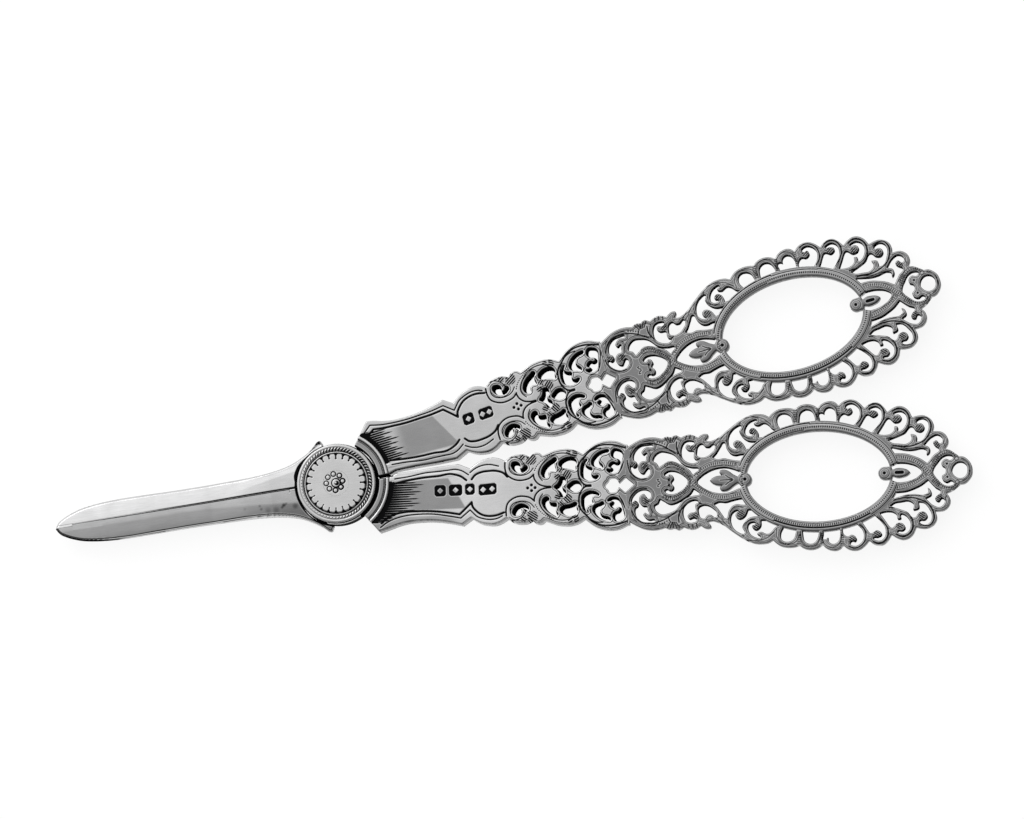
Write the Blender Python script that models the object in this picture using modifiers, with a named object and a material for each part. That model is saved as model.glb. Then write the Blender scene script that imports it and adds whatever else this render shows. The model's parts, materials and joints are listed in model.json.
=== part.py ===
"""Grape shears: two pierced and engraved handles that cross at a riveted disc joint.

The shears lie flat. The origin is on the pivot, at the face they rest on. +Z runs up
the pivot, +X runs from the pivot towards the handles and +Y towards the upper handle.
Each half is one handle, one joint plate and the blade on the other side:
  half A: upper handle, front joint plate, lower blade
  half B: lower handle, rear joint plate, upper blade
Half B is built by the same functions as half A, turned about +X, but its handle has its
own angle and offset.
"""

import math

import bmesh
import bpy

MM = 0.001
PERCENT = 0.01

# Joint
PLATE_THICKNESS = 1.9 * MM
PLATE_RUNNING_GAP = 0.1 * MM
PLATE_RIM = 0.5 * MM
DIAL_RADIUS = 5.8 * MM
DIAL_THICKNESS = 0.85 * MM
DIAL_RIM_STEP = 0.25 * MM
ROPE_CLEARANCE = 0.35 * MM
ROPE_WIDTH = 1.05 * MM
ROPE_HEIGHT = 0.55 * MM
RIVET_RADIUS = 1.7 * MM
RIVET_CLEARANCE = 0.15 * MM
RIVET_HEAD_RADIUS = 2.5 * MM
RIVET_HEAD_RIM = 0.35 * MM

# Collars
COLLAR_CLEARANCE = 0.6 * MM
COLLAR_WIDTH = 1.7 * MM
COLLAR_HALF_HEIGHT = 2.25 * MM
COLLAR_ANGLE = math.radians(57.0)
HANDLE_PARTING = 0.5 * MM

# Blades
BLADE_LENGTH = 56.0 * MM
BLADE_HALF_WIDTH = 4.1 * MM
SHOULDER_HALF_HEIGHT = 2.1 * MM
TIP_HALF_HEIGHT = 1.0 * MM
SHOULDER_CLEARANCE = 0.3 * MM
SHOULDER_REACH = 13.0 * MM
BLADE_TAPER_LENGTH = 12.0 * MM
BLADE_PARTING = 0.1 * MM
EDGE_OVERLAP = 0.25 * MM
EDGE_RUNNING_GAP = 0.12 * MM
EDGE_WIDTH = 0.9 * MM
EDGE_TIP_MARGIN = 3.0 * MM
EDGE_HEEL_MARGIN = 1.3 * MM

# Handles
UPPER_ROOT_CLEARANCE = 0.86 * MM
UPPER_BOW_CLEARANCE = 3.56 * MM
UPPER_ROOT_SHIFT = -0.45 * MM
LOWER_ROOT_CLEARANCE = -0.27 * MM
LOWER_BOW_CLEARANCE = -0.97 * MM
LOWER_ROOT_SHIFT = 0.45 * MM
SHANK_WIDTH = 10.0 * MM
SHANK_HALF_HEIGHT = 2.1 * MM
SHANK_CORNER_REACH = 3.1 * MM
PANEL_TAPER_START = 40.0 * MM
THROAT_LENGTH = 21.3 * MM
FINIAL_LENGTH = 13.9 * MM
SCROLL_WIDTH = 3.95 * MM
BOW_HALF_HEIGHT = 1.1 * MM
RING_HALF_HEIGHT = 1.25 * MM
RING_BAND = 1.9 * MM
FINGER_HALF_LENGTH = 14.0 * MM
FINGER_HALF_WIDTH = 8.85 * MM

# Fits between pieces that are soldered together
SOLDER_GAP = 0.3 * MM
SEAT_GAP = 0.15 * MM
CUT_OVERRUN = 5.0 * MM
WELD_DISTANCE = 0.01 * MM

# Facets
ROUND_STEPS = 48
RING_STEPS = 56
ARC_STEPS = 14
BOSS_STEPS = 6
PARTING_STEPS = 12

# The blade's outer edge: percent of its length from the pivot, of its half width across
BLADE_EDGE_SHARES = (
    (-100.0, -3.0), (-98.6, 28.0), (-96.6, 46.0), (-94.4, 60.0), (-91.5, 74.0), (-87.0, 86.0),
    (-82.0, 93.0), (-76.0, 96.5), (-68.0, 96.0), (-54.0, 93.5), (-40.0, 95.0), (-29.0, 98.0),
    (-22.0, 107.0),
)
# The shoulder and its horn: percent of the joint plate's radius
HORN_SHARES = (
    (-128.0, 63.0), (-104.0, 71.0), (-77.0, 85.0), (-52.0, 102.0), (-38.0, 115.0),
    (-30.0, 117.0), (-24.0, 109.0),
)

# The handle's edges: percent of the shank's width, along from the pivot and out from the axis
SHANK_OUTER_SHARES = (
    (100, 61.5), (120, 55), (140, 51), (160, 50), (180, 50), (200, 52), (220, 55.5), (243, 61),
)
SHANK_INNER_SHARES = (
    (118, 45.5), (140, 47.5), (160, 49.5), (200, 54.5), (239, 58),
)
LOBE_SHARES = (
    ((261, 48.5), (270, 55), (280, 60.5), (292, 64), (304, 65.5), (318, 62.5), (330, 56)),
    ((337, 61), (345, 65), (357, 67), (369, 66), (378, 61)),
    ((383, 66), (391, 69), (398, 67.5), (403, 63)),
    ((412, 66.5), (425, 71.5), (440, 74), (455, 74), (468, 70.5), (480, 63.5)),
    ((490, 72), (502, 80), (517, 85.5), (533, 87.5), (548, 85.5)),
)
PANEL_END_SHARE = 563
PANEL_NECK_SHARE = 79.0

# The panel's openings: the same percent, one side of the handle's axis
PANEL_OPENING_SHARES = {
    "scroll_eye": (
        (341.5, 46), (343.5, 40), (348, 34.5), (355, 31), (363, 31), (369, 34), (373, 38.5),
        (371.5, 43.5), (367, 45), (365.5, 41), (361, 37.5), (357.5, 38.5), (359, 43), (357, 49),
        (350, 52.5), (344, 51.5),
    ),
    "lobe_left": (
        (400, 26), (403.5, 20.5), (410.5, 19), (413, 22), (412.5, 28), (419, 31.5), (427, 32.5),
        (427, 38), (425, 46), (430, 54), (428, 57), (419, 53), (409, 46), (402, 37),
    ),
    "lobe_right": (
        (434, 43), (439, 38), (449, 36), (458, 33.5), (464, 31), (467, 34), (465, 39), (468, 45),
        (466, 52.5), (459, 56.5), (450, 57), (441, 53.5), (435.5, 49),
    ),
    "crescent": (
        (476, 27), (477.5, 18.5), (483, 13.5), (491, 10.5), (499, 11), (507, 14.5), (510, 18.5),
        (507.5, 20), (502.5, 18.5), (497.5, 20.5), (495.5, 26), (498, 33), (489, 38), (484.5, 43),
        (488, 52), (482, 50), (477.5, 41),
    ),
    "leaf": (
        (497, 47), (498.5, 40.5), (504, 36.5), (511, 34.5), (516, 32), (519, 35), (517, 40.5),
        (512.5, 45), (511, 51), (514, 57.5), (519, 60.5), (526, 62), (531, 68), (522, 68.5),
        (511, 64.5), (502, 57),
    ),
    "curl": (
        (526.5, 31), (530, 25.5), (538, 23.5), (546, 26), (551, 32), (554.5, 42), (557, 52),
        (558, 62), (555, 66.5), (549, 69.5), (541, 70.5), (537, 66), (536, 58), (540, 53),
        (547, 50.5), (549.5, 45), (545.5, 42.5), (539, 45.5), (532, 41.5), (530.5, 37),
        (536, 33), (533.5, 30.5),
    ),
}
# The openings on the handle's axis: half of each, from one crossing of the axis to the other
PANEL_AXIS_SHARES = {
    "heart": ((424, 0), (430, 5.5), (434, 12), (437, 19.5), (443.5, 18.5), (446, 9.5), (438.5, 0)),
    "drop": ((449, 0), (454.5, 6.5), (461.5, 10.5), (470.5, 9.5), (476.5, 0)),
}
# The four-lobed window where panel and bow meet: half of it, from the axis to the panel's end
END_WINDOW_SHARES = (
    (517, 0), (521, 6.5), (525, 13.5), (529.5, 17.5), (535, 14), (543, 15.5), (552, 12),
)
END_WINDOW_MOUTH_SHARE = 11.0

# The bow's outline, one side: percent of its length along, of its half width across.
# The throat, the finger ring and the finial each take up their own part of the length.
RING_START_SHARE = 31.8
RING_END_SHARE = 79.2
WIDEST_SHARE = 65.0
BOW_EDGE_SHARES = (
    (0, 8.5), (0, 8.5), (0, 47), (1, 51), (1, 51), (2.5, 55), (5, 60), (7, 61.5), (9, 61),
    (10.7, 59), (10.7, 59), (12, 61.5), (13.4, 60.5), (13.4, 60.5), (14.7, 63), (16.2, 59.5),
    (16.2, 59.5), (17.5, 62), (18.7, 63), (20, 61.5), (21.1, 58.5), (21.1, 58.5), (22, 61.5),
    (23.2, 63), (24.2, 61.5), (24.2, 59), (23.3, 54), (23.3, 54), (24.5, 53), (26, 55),
    (27.3, 58), (29, 64), (31, 71), (33, 77.5), (35, 82.5), (37, 85.5), (39, 86), (40.5, 85),
    (41.8, 82), (41.8, 82), (42.7, 86), (44, 90), (46, 92.2), (48, 92), (49.4, 90.5),
    (49.4, 90.5), (50.5, 94), (52, 96.3), (53.5, 96.3), (55, 94), (56, 91), (56, 91),
    (57, 95.3), (58.5, 98.5), (60, 99), (61.3, 96.5), (62, 93), (62, 93), (63.3, 97.7),
    (65, 100), (66.7, 99), (68.2, 94.5), (69.5, 88), (69.5, 88), (70.5, 92), (72, 94.5),
    (73.5, 94), (75, 88.5), (76, 81.5), (76, 81.5), (77.5, 86), (79, 88.5), (80.7, 87.3),
    (82.2, 82), (83.2, 73), (83.2, 73), (84.5, 74.5), (86.3, 74.8), (87.8, 72), (89, 66),
    (89.3, 59), (88.9, 53), (88.9, 53), (90, 53), (91.2, 52.3), (92.5, 48.5), (93.3, 42),
    (93.2, 35.5), (92.3, 29.5), (92.3, 29.5), (94, 26.5), (95.5, 21.5), (96.3, 18.5),
    (96.3, 18.5), (97.5, 17.8), (98.9, 13), (99.8, 6.5),
)
BOW_START_SHARE = 2.1

# The bow's openings, one side. Those beside the finger ring run in under it.
BOW_OPENING_SHARES = {
    "first_lobe": (
        (2.2, 14), (3, 10.5), (4.5, 8), (6, 9), (6.9, 13), (7, 17), (6.5, 20), (5.8, 17), (5, 13),
        (4, 15), (3.5, 20), (3.6, 25), (4.6, 30), (5.8, 31), (5.9, 35), (6.2, 40), (5.1, 38),
        (4.6, 41), (5, 45), (6, 48.5), (8, 49.5), (6, 51), (4.5, 50), (3.3, 46), (2.4, 39),
        (2.5, 32), (3.2, 29.5), (3.1, 23), (2.2, 21.5), (1.5, 24), (1.5, 19),
    ),
    "stem": (
        (8, 30), (9, 27), (9.6, 21.5), (9.6, 21.5), (10.5, 24), (12.5, 29), (14, 28), (15.5, 25),
        (17, 21), (18.5, 16), (19.4, 10), (19.4, 10), (20.2, 12.5), (21, 16), (19, 18.5),
        (17.5, 20.5), (16, 25), (15, 31), (14, 36), (12, 40), (10, 41), (9, 38.5), (8.2, 34),
    ),
    "second_left": (
        (16.2, 39), (16.4, 34), (17, 30), (18.3, 26), (20, 25), (20.7, 27), (19.8, 30),
        (19.7, 34), (19.8, 39), (18, 41.5), (17.4, 45), (17.8, 49.5), (19.3, 48.3), (20, 51),
        (18.7, 54), (17.3, 52.5), (16.4, 46),
    ),
    "second_right": (
        (20.7, 40), (20.7, 35.5), (22, 32), (23.5, 33), (24.8, 37), (25.8, 42), (25.7, 48),
        (24.2, 44.5), (23.2, 44.8), (22.1, 49.3), (21.4, 48),
    ),
    "long_gusset": (
        (25.3, 31), (25.3, 31), (26.5, 28.8), (28.7, 29.5), (30, 28), (32, 26), (34.5, 25),
        (34.5, 25), (35.5, 33), (35.5, 33), (33.2, 33), (31.8, 32), (30.5, 34), (29.4, 40),
        (28.4, 50), (27.6, 45), (26.2, 35.5),
    ),
    "small_curl": (
        (30.3, 45), (31.2, 41.5), (32.1, 41), (31.3, 45), (31.3, 49), (32.3, 52.5), (33.3, 51.5),
        (34.2, 48), (35, 40.5), (35, 40.5), (37.2, 41), (37.2, 41), (39, 49), (39, 49),
        (35.2, 51), (34.1, 55), (33.1, 64), (33.7, 71), (32, 69), (31, 65), (30.2, 59),
        (29.9, 52),
    ),
    "tight_curl": (
        (34.8, 64), (35, 60), (35.8, 57.5), (37, 59), (35.9, 62), (36.3, 66.5), (37.2, 68),
        (38, 66), (38.6, 62), (38.7, 55), (38.7, 55), (41.6, 56), (41.6, 56), (44, 62), (44, 62),
        (42.3, 66), (41.8, 69), (40.5, 73), (38.3, 70), (37.3, 73), (38.3, 77.5), (37, 77),
        (35.9, 74), (35.1, 69),
    ),
    "scallop_1": (
        (44.2, 74), (45.2, 64.5), (45.2, 64.5), (48.8, 67), (48.8, 67), (48.3, 76), (48, 80),
        (46.6, 84.3), (45, 83.5), (44.3, 80),
    ),
    "scallop_2": (
        (50.6, 76), (50.5, 69), (50.5, 69), (55.1, 70), (55.1, 70), (54.8, 80), (54, 86.5),
        (52.6, 88.6), (51.1, 85),
    ),
    "scallop_3": (
        (56.5, 77), (56.6, 70), (56.6, 70), (61.1, 68), (61.1, 68), (61.1, 81), (60.4, 88),
        (59, 90), (57.9, 85.5), (57.9, 80.5), (57.9, 80.5), (57, 83.5), (56.4, 83),
    ),
    "curl_1": (
        (62.3, 77), (62, 67), (62, 67), (65.6, 63), (65.6, 63), (67.7, 75), (68, 81), (67.8, 86),
        (67, 91), (65.3, 94), (64.1, 90.5), (64.6, 87.8), (65.5, 88.7), (66, 85), (64.6, 79),
        (63.4, 81),
    ),
    "curl_2": (
        (68.5, 68), (67.3, 60), (67.3, 60), (70.8, 53), (70.8, 53), (73.2, 64.5), (74, 70),
        (74.3, 77), (74, 84), (72.5, 88.5), (70.9, 84.5), (72, 84.3), (73.3, 80.5), (72, 74.5),
        (70, 78), (69.3, 74),
    ),
    "curl_3": (
        (73, 52.5), (73, 52.5), (75, 51), (76.5, 52), (77.6, 56), (77.8, 62), (77.8, 62),
        (78.9, 61), (79, 55), (79.7, 56), (81, 62), (81.5, 70), (81, 77), (79.5, 80.8),
        (77.9, 77.5), (79.2, 77.3), (80.1, 73), (79.5, 67.5), (78, 66), (76, 72), (75.4, 69),
        (74.7, 64),
    ),
    "curl_4": (
        (76, 43.5), (76, 43.5), (77.2, 40), (79, 38.8), (81.3, 38.3), (82.6, 43), (82.3, 51),
        (82.3, 51), (84.2, 48), (84.2, 40), (84.2, 40), (85.4, 41), (87, 50), (87.7, 59),
        (87.2, 67), (85.8, 70), (84.3, 65), (85.8, 64), (86.6, 59), (85.5, 52.5), (84, 54),
        (82.8, 60), (80.8, 52), (79, 48.5), (77.5, 46),
    ),
    "gusset": (
        (76, 26), (76, 26), (79, 26), (81, 25), (83, 22), (85, 18), (87, 11.5), (87, 11.5),
        (88, 17), (89, 22), (90.5, 28), (89.3, 33), (88.8, 37), (89.8, 41), (91, 36.5),
        (91.6, 40), (91.3, 44), (90.1, 47.5), (88.7, 45.5), (86.3, 35.5), (86.3, 35.5),
        (87.9, 31), (87.7, 24), (86.7, 20.5), (86.7, 20.5), (86.8, 28), (86, 30), (83, 28.8),
        (81, 29), (79, 31), (77, 33.5), (77, 33.5),
    ),
}
BOW_AXIS_SHARES = {
    "left_heart": (
        (13.1, 0), (13.8, 5), (13.4, 10), (12.4, 11), (11.8, 9), (11.2, 10.5), (11.8, 13.8),
        (13.3, 15), (14.7, 13.5), (16.2, 9.5), (17.3, 4.5), (17.7, 0),
    ),
    "leaf_window": (
        (20.6, 0), (21.8, 6.5), (23.3, 11), (25, 14.5), (27, 16.5), (29, 16.5), (31, 14),
        (33.5, 9), (33.5, 9), (36, 6), (36, 0),
    ),
    "almond": (
        (75, 0), (75, 7), (75, 7), (76.6, 9.5), (78, 12), (80, 12.3), (82, 10.5), (84, 6.5),
        (85.2, 0),
    ),
    "right_heart": (
        (88.6, 0), (89, 5), (90, 11), (91.5, 18), (93, 20), (94.4, 17), (93.8, 14), (92.5, 16.5),
        (91.3, 10), (91.7, 5), (92.4, 0),
    ),
    "tip_ring": ((94.1, 0), (94.7, 4), (95.8, 8), (97, 8.6), (98, 6), (98.4, 0)),
}

# The leaf and the drop that stand on the finger ring's ends, in the bow's percent
RING_LEAF_SHARES = (
    (24.2, 0), (24.9, 3.2), (26.2, 5.8), (28, 6.5), (28, 6.5), (27.1, 9.5), (27.3, 13),
    (28.4, 14), (29.7, 12), (31, 7.5), (32.3, 4), (32.3, 4), (33.4, 9.5), (33.4, 9.5),
)
RING_DROP_SHARES = (
    (76.5, 9.5), (76.5, 9.5), (76.9, 4), (76.9, 4), (78.2, 6), (79.8, 5.5), (81.2, 3.3), (82, 0),
)
RING_SHOULDER_SHARE = 14.0
# A boss in the finger hole: how far in its centre lies and its radius, in the band's percent
LEFT_BOSS_SHARES = (-8.0, 67.0)
RIGHT_BOSS_SHARES = (63.0, 63.5)

# Sizes that follow from those above
JOINT_HALF_HEIGHT = PLATE_RUNNING_GAP + PLATE_THICKNESS + SEAT_GAP + DIAL_THICKNESS
MID = JOINT_HALF_HEIGHT
PLATE_TOP = PLATE_RUNNING_GAP + PLATE_THICKNESS
ROPE_INNER_RADIUS = DIAL_RADIUS + ROPE_CLEARANCE
ROPE_OUTER_RADIUS = ROPE_INNER_RADIUS + ROPE_WIDTH
PLATE_RADIUS = ROPE_OUTER_RADIUS + PLATE_RIM
COLLAR_INNER_RADIUS = PLATE_RADIUS + COLLAR_CLEARANCE
COLLAR_OUTER_RADIUS = COLLAR_INNER_RADIUS + COLLAR_WIDTH
ROOT_RADIUS = COLLAR_OUTER_RADIUS + SOLDER_GAP
RING_HALF_LENGTH = FINGER_HALF_LENGTH + RING_BAND
RING_HALF_WIDTH = FINGER_HALF_WIDTH + RING_BAND
RING_CENTRE = THROAT_LENGTH + RING_HALF_LENGTH
RING_END = RING_CENTRE + RING_HALF_LENGTH
BOW_START = PANEL_END_SHARE * PERCENT * SHANK_WIDTH
BOW_LENGTH = RING_END + FINIAL_LENGTH
BOW_HALF_WIDTH = RING_HALF_WIDTH + SCROLL_WIDTH

COLLECTION_NAME = "grape_shears"
CUTTER_COLLECTION_NAME = "cutters"
PARTS = {}


def scaled(shares, along, across):
    """Turn a table of percent shares into points: along and across are the sizes followed."""
    return [(x * PERCENT * along, y * PERCENT * across) for x, y in shares]


def mirrored(points):
    """The points' reflection in the X axis, in the opposite order."""
    return [(x, -y) for x, y in reversed(points)]


def closed_on_axis(points):
    """A whole loop from its half, whose two ends lie on the X axis."""
    ends = (points[0][0], 0.0), (points[-1][0], 0.0)
    middle = points[1:-1]
    return [ends[0]] + middle + [ends[1]] + mirrored(middle)


def without_repeats(points):
    """The loop's points, with each corner that was given twice kept once."""
    kept = []
    for point in points:
        if not kept or point != kept[-1]:
            kept.append(point)
    if kept[0] == kept[-1]:
        kept.pop()
    return kept


def arc(radius, start, end, steps):
    """Points on an arc about the pivot, from angle start to angle end."""
    angles = [start + (end - start) * i / steps for i in range(steps + 1)]
    return [(radius * math.cos(a), radius * math.sin(a)) for a in angles]


def ellipse(centre_x, half_length, half_width, start, end, steps):
    """Points on an ellipse, from parameter angle start to angle end."""
    angles = [start + (end - start) * i / steps for i in range(steps + 1)]
    return [(centre_x + half_length * math.cos(a), half_width * math.sin(a)) for a in angles]


def along_bow(share):
    """The place along the bow of a percent share: in the throat, beside the ring or past it."""
    whole_share = 1 / PERCENT
    if share < RING_START_SHARE:
        return THROAT_LENGTH * share / RING_START_SHARE
    if share < RING_END_SHARE:
        passed = (share - RING_START_SHARE) / (RING_END_SHARE - RING_START_SHARE)
        return THROAT_LENGTH + (RING_END - THROAT_LENGTH) * passed
    left = (whole_share - share) / (whole_share - RING_END_SHARE)
    return BOW_LENGTH - FINIAL_LENGTH * left


def on_bow(shares):
    """Turn a table of the bow's percent shares into points."""
    return [(along_bow(x), y * PERCENT * BOW_HALF_WIDTH) for x, y in shares]


class Half:
    """The place of one half: which side its handle is on, and that handle's lie.

    A clearance is the inner edge's way from the X axis, on the handle's own side: the root
    clearance at the shank's root, the bow clearance where the bow is widest. The angle and
    the offset of the handle's axis follow from the two.
    """

    def __init__(self, side, root_clearance, bow_clearance, root_shift):
        self.side = side
        self.root_shift = root_shift
        root, inward = scaled(SHANK_INNER_SHARES[:1], SHANK_WIDTH, SHANK_WIDTH)[0]
        run = BOW_START + along_bow(WIDEST_SHARE) - root
        spread = BOW_HALF_WIDTH - inward + root_shift
        rise = bow_clearance - root_clearance
        self.angle = math.asin(rise / math.hypot(run, spread)) + math.atan2(spread, run)
        lift = (root_clearance - root * math.sin(self.angle)) / math.cos(self.angle)
        self.offset = lift + inward - root_shift

    def handle_point(self, along, out):
        """The shears' X and Y of a point given along and out from the handle's axis."""
        across = self.offset + out
        x = along * math.cos(self.angle) - across * math.sin(self.angle)
        y = along * math.sin(self.angle) + across * math.cos(self.angle)
        return (x, self.side * y)

    def handle_loop(self, points):
        return [self.handle_point(along, out) for along, out in points]

    def shank_point(self, point):
        """A point of the shank, which leans by the root shift until the panel starts."""
        along, out = point
        panel_start = LOBE_SHARES[0][0][0] * PERCENT * SHANK_WIDTH
        panel_run = LOBE_SHARES[1][0][0] * PERCENT * SHANK_WIDTH - panel_start
        fade = 1.0 - min(max((along - panel_start) / panel_run, 0.0), 1.0)
        return (along, out + self.root_shift * fade)


HALF_A = Half(1, UPPER_ROOT_CLEARANCE, UPPER_BOW_CLEARANCE, UPPER_ROOT_SHIFT)
HALF_B = Half(-1, LOWER_ROOT_CLEARANCE, LOWER_BOW_CLEARANCE, LOWER_ROOT_SHIFT)


def new_material(name, colour, roughness, metallic=1.0):
    material = bpy.data.materials.new(name)
    material.use_nodes = True
    shader = material.node_tree.nodes["Principled BSDF"]
    shader.inputs["Base Color"].default_value = (*colour, 1.0)
    shader.inputs["Roughness"].default_value = roughness
    shader.inputs["Metallic"].default_value = metallic
    return material


def set_material(obj, name):
    obj.data.materials.clear()
    obj.data.materials.append(bpy.data.materials[name])


def make_materials():
    new_material("polished_silver", (0.80, 0.80, 0.79), 0.18)
    new_material("satin_silver", (0.48, 0.48, 0.48), 0.38)
    new_material("engraved_silver", (0.62, 0.62, 0.61), 0.30)
    new_material("edge_steel", (0.56, 0.57, 0.58), 0.22)


def add_object(name, data):
    obj = bpy.data.objects.new(name, data)
    PARTS["collection"].objects.link(obj)
    return obj


def plate_curve(name, loops, bottom, top):
    """A flat plate between two heights: 2D poly splines, filled and extruded."""
    curve = bpy.data.curves.new(name, "CURVE")
    curve.dimensions = "2D"
    curve.fill_mode = "BOTH"
    curve.extrude = (top - bottom) / 2
    for loop in loops:
        points = without_repeats(loop)
        spline = curve.splines.new("POLY")
        spline.points.add(len(points) - 1)
        for spot, (x, y) in zip(spline.points, points):
            spot.co = (x, y, 0.0, 1.0)
        spline.use_cyclic_u = True
    obj = add_object(name, curve)
    obj.location.z = (top + bottom) / 2
    return obj


def to_mesh(obj):
    """Replace a curve object by a welded mesh object, facing out, that can be cut."""
    bpy.context.view_layer.update()
    graph = bpy.context.evaluated_depsgraph_get()
    mesh = bpy.data.meshes.new_from_object(obj.evaluated_get(graph))
    work = bmesh.new()
    work.from_mesh(mesh)
    bmesh.ops.remove_doubles(work, verts=work.verts, dist=WELD_DISTANCE)
    bmesh.ops.recalc_face_normals(work, faces=work.faces)
    if work.calc_volume(signed=True) < 0.0:
        bmesh.ops.reverse_faces(work, faces=work.faces)
    work.to_mesh(mesh)
    work.free()
    name = obj.name
    matrix = obj.matrix_world.copy()
    old_curve = obj.data
    bpy.data.objects.remove(obj)
    bpy.data.curves.remove(old_curve)
    mesh.name = name
    mesh_object = add_object(name, mesh)
    mesh_object.matrix_world = matrix
    return mesh_object


def cut_away(obj, cutter, solver="EXACT"):
    """Cut a hidden cutter out of an object and leave the Boolean on it."""
    for collection in cutter.users_collection:
        collection.objects.unlink(cutter)
    PARTS["cutters"].objects.link(cutter)
    cutter.hide_render = True
    cutter.display_type = "WIRE"
    boolean = obj.modifiers.new("cut_" + cutter.name, "BOOLEAN")
    boolean.operation = "DIFFERENCE"
    boolean.solver = solver
    boolean.object = cutter


def turned(name, profile, steps=ROUND_STEPS):
    """A turned piece: an open or closed profile (radius, height) swept round the pivot."""
    mesh = bpy.data.meshes.new(name)
    points = [(radius, 0.0, height) for radius, height in profile]
    closed = profile[0][0] > 0.0
    edges = [(i, i + 1) for i in range(len(points) - 1)]
    if closed:
        edges.append((len(points) - 1, 0))
    mesh.from_pydata(points, edges, [])
    obj = add_object(name, mesh)
    screw = obj.modifiers.new("turn", "SCREW")
    screw.steps = steps
    screw.render_steps = steps
    screw.use_merge_vertices = True
    screw.merge_threshold = WELD_DISTANCE
    return obj


def flipped_profile(half, profile):
    """Heights are given up from the joint's middle for half A, and down from it for half B."""
    points = [(radius, MID + half.side * height) for radius, height in profile]
    return points if half.side > 0 else points[::-1]


def joint_plate(name, half):
    """A half's flat plate of the lap joint, bored for the rivet."""
    bore = RIVET_RADIUS + RIVET_CLEARANCE
    profile = [
        (PLATE_RADIUS, PLATE_TOP),
        (PLATE_RADIUS, PLATE_RUNNING_GAP),
        (bore, PLATE_RUNNING_GAP),
        (bore, PLATE_TOP),
    ]
    plate = turned(name, flipped_profile(half, profile))
    set_material(plate, "engraved_silver")


def rope_ring(name, half):
    """The milled ring that frames the dial, seated on the joint plate."""
    base = PLATE_TOP + SEAT_GAP
    crest = base + ROPE_HEIGHT
    quarter = (ROPE_OUTER_RADIUS - ROPE_INNER_RADIUS) / 4
    profile = [
        (ROPE_OUTER_RADIUS - quarter, crest),
        (ROPE_OUTER_RADIUS, (base + crest) / 2),
        (ROPE_OUTER_RADIUS, base),
        (ROPE_INNER_RADIUS, base),
        (ROPE_INNER_RADIUS, (base + crest) / 2),
        (ROPE_INNER_RADIUS + quarter, crest),
    ]
    ring = turned(name, flipped_profile(half, profile))
    set_material(ring, "engraved_silver")


def dial(name, half):
    """The engraved cap of the joint, with a stepped rim and a recess for the rivet head."""
    base = PLATE_TOP + SEAT_GAP
    face = JOINT_HALF_HEIGHT
    recess = RIVET_HEAD_RADIUS + SEAT_GAP
    profile = [
        (DIAL_RADIUS - DIAL_RIM_STEP, face),
        (DIAL_RADIUS, face - DIAL_RIM_STEP),
        (DIAL_RADIUS, base),
        (recess, base),
        (recess, face),
    ]
    cap = turned(name, flipped_profile(half, profile))
    set_material(cap, "satin_silver")


def pivot_rivet():
    """The rivet through both plates, with a flat head on each side."""
    neck = PLATE_TOP + SEAT_GAP
    rim = JOINT_HALF_HEIGHT - RIVET_HEAD_RIM / 2
    profile = [
        (0.0, MID + JOINT_HALF_HEIGHT),
        (RIVET_HEAD_RADIUS - RIVET_HEAD_RIM, MID + JOINT_HALF_HEIGHT),
        (RIVET_HEAD_RADIUS, MID + rim),
        (RIVET_HEAD_RADIUS, MID + neck),
        (RIVET_RADIUS, MID + neck),
        (RIVET_RADIUS, MID - neck),
        (RIVET_HEAD_RADIUS, MID - neck),
        (RIVET_HEAD_RADIUS, MID - rim),
        (RIVET_HEAD_RADIUS - RIVET_HEAD_RIM, MID - JOINT_HALF_HEIGHT),
        (0.0, MID - JOINT_HALF_HEIGHT),
    ]
    rivet = turned("pivot_rivet", profile)
    set_material(rivet, "polished_silver")


def collar(name, half):
    """The curved collar at a handle's root, a sector round the joint plate."""
    start = math.asin(HANDLE_PARTING / 2 / COLLAR_INNER_RADIUS)
    inner = arc(COLLAR_INNER_RADIUS, start, COLLAR_ANGLE, ARC_STEPS)
    outer = arc(COLLAR_OUTER_RADIUS, start, COLLAR_ANGLE, ARC_STEPS)
    loop = [(x, half.side * y) for x, y in inner + outer[::-1]]
    piece = plate_curve(name, [loop], MID - COLLAR_HALF_HEIGHT, MID + COLLAR_HALF_HEIGHT)
    set_material(piece, "polished_silver")


def blade_half_height(x):
    """Half the blade's thickness: full at the shoulder, then falling to the tip."""
    if x > -SHOULDER_REACH:
        return SHOULDER_HALF_HEIGHT
    run = min((-x - SHOULDER_REACH) / (BLADE_LENGTH - SHOULDER_REACH), 1.0)
    heel_drop = min((-x - SHOULDER_REACH) / BLADE_TAPER_LENGTH, 1.0)
    drop = (SHOULDER_HALF_HEIGHT - TIP_HALF_HEIGHT) / 2
    return SHOULDER_HALF_HEIGHT - drop * (run + heel_drop)


def squeeze_heights(obj, half_height_at):
    """Set each vertex's height from the middle to the half height where it lies."""
    for vertex in obj.data.vertices:
        side = 1.0 if vertex.co.z > 0.0 else -1.0
        vertex.co.z = side * half_height_at(vertex.co.x)


def parting_run(near_x, far_x, across):
    """Points along the parting line, close enough for the blade's taper to show in them."""
    steps = PARTING_STEPS
    return [(near_x + (far_x - near_x) * i / steps, across) for i in range(steps + 1)]


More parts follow.
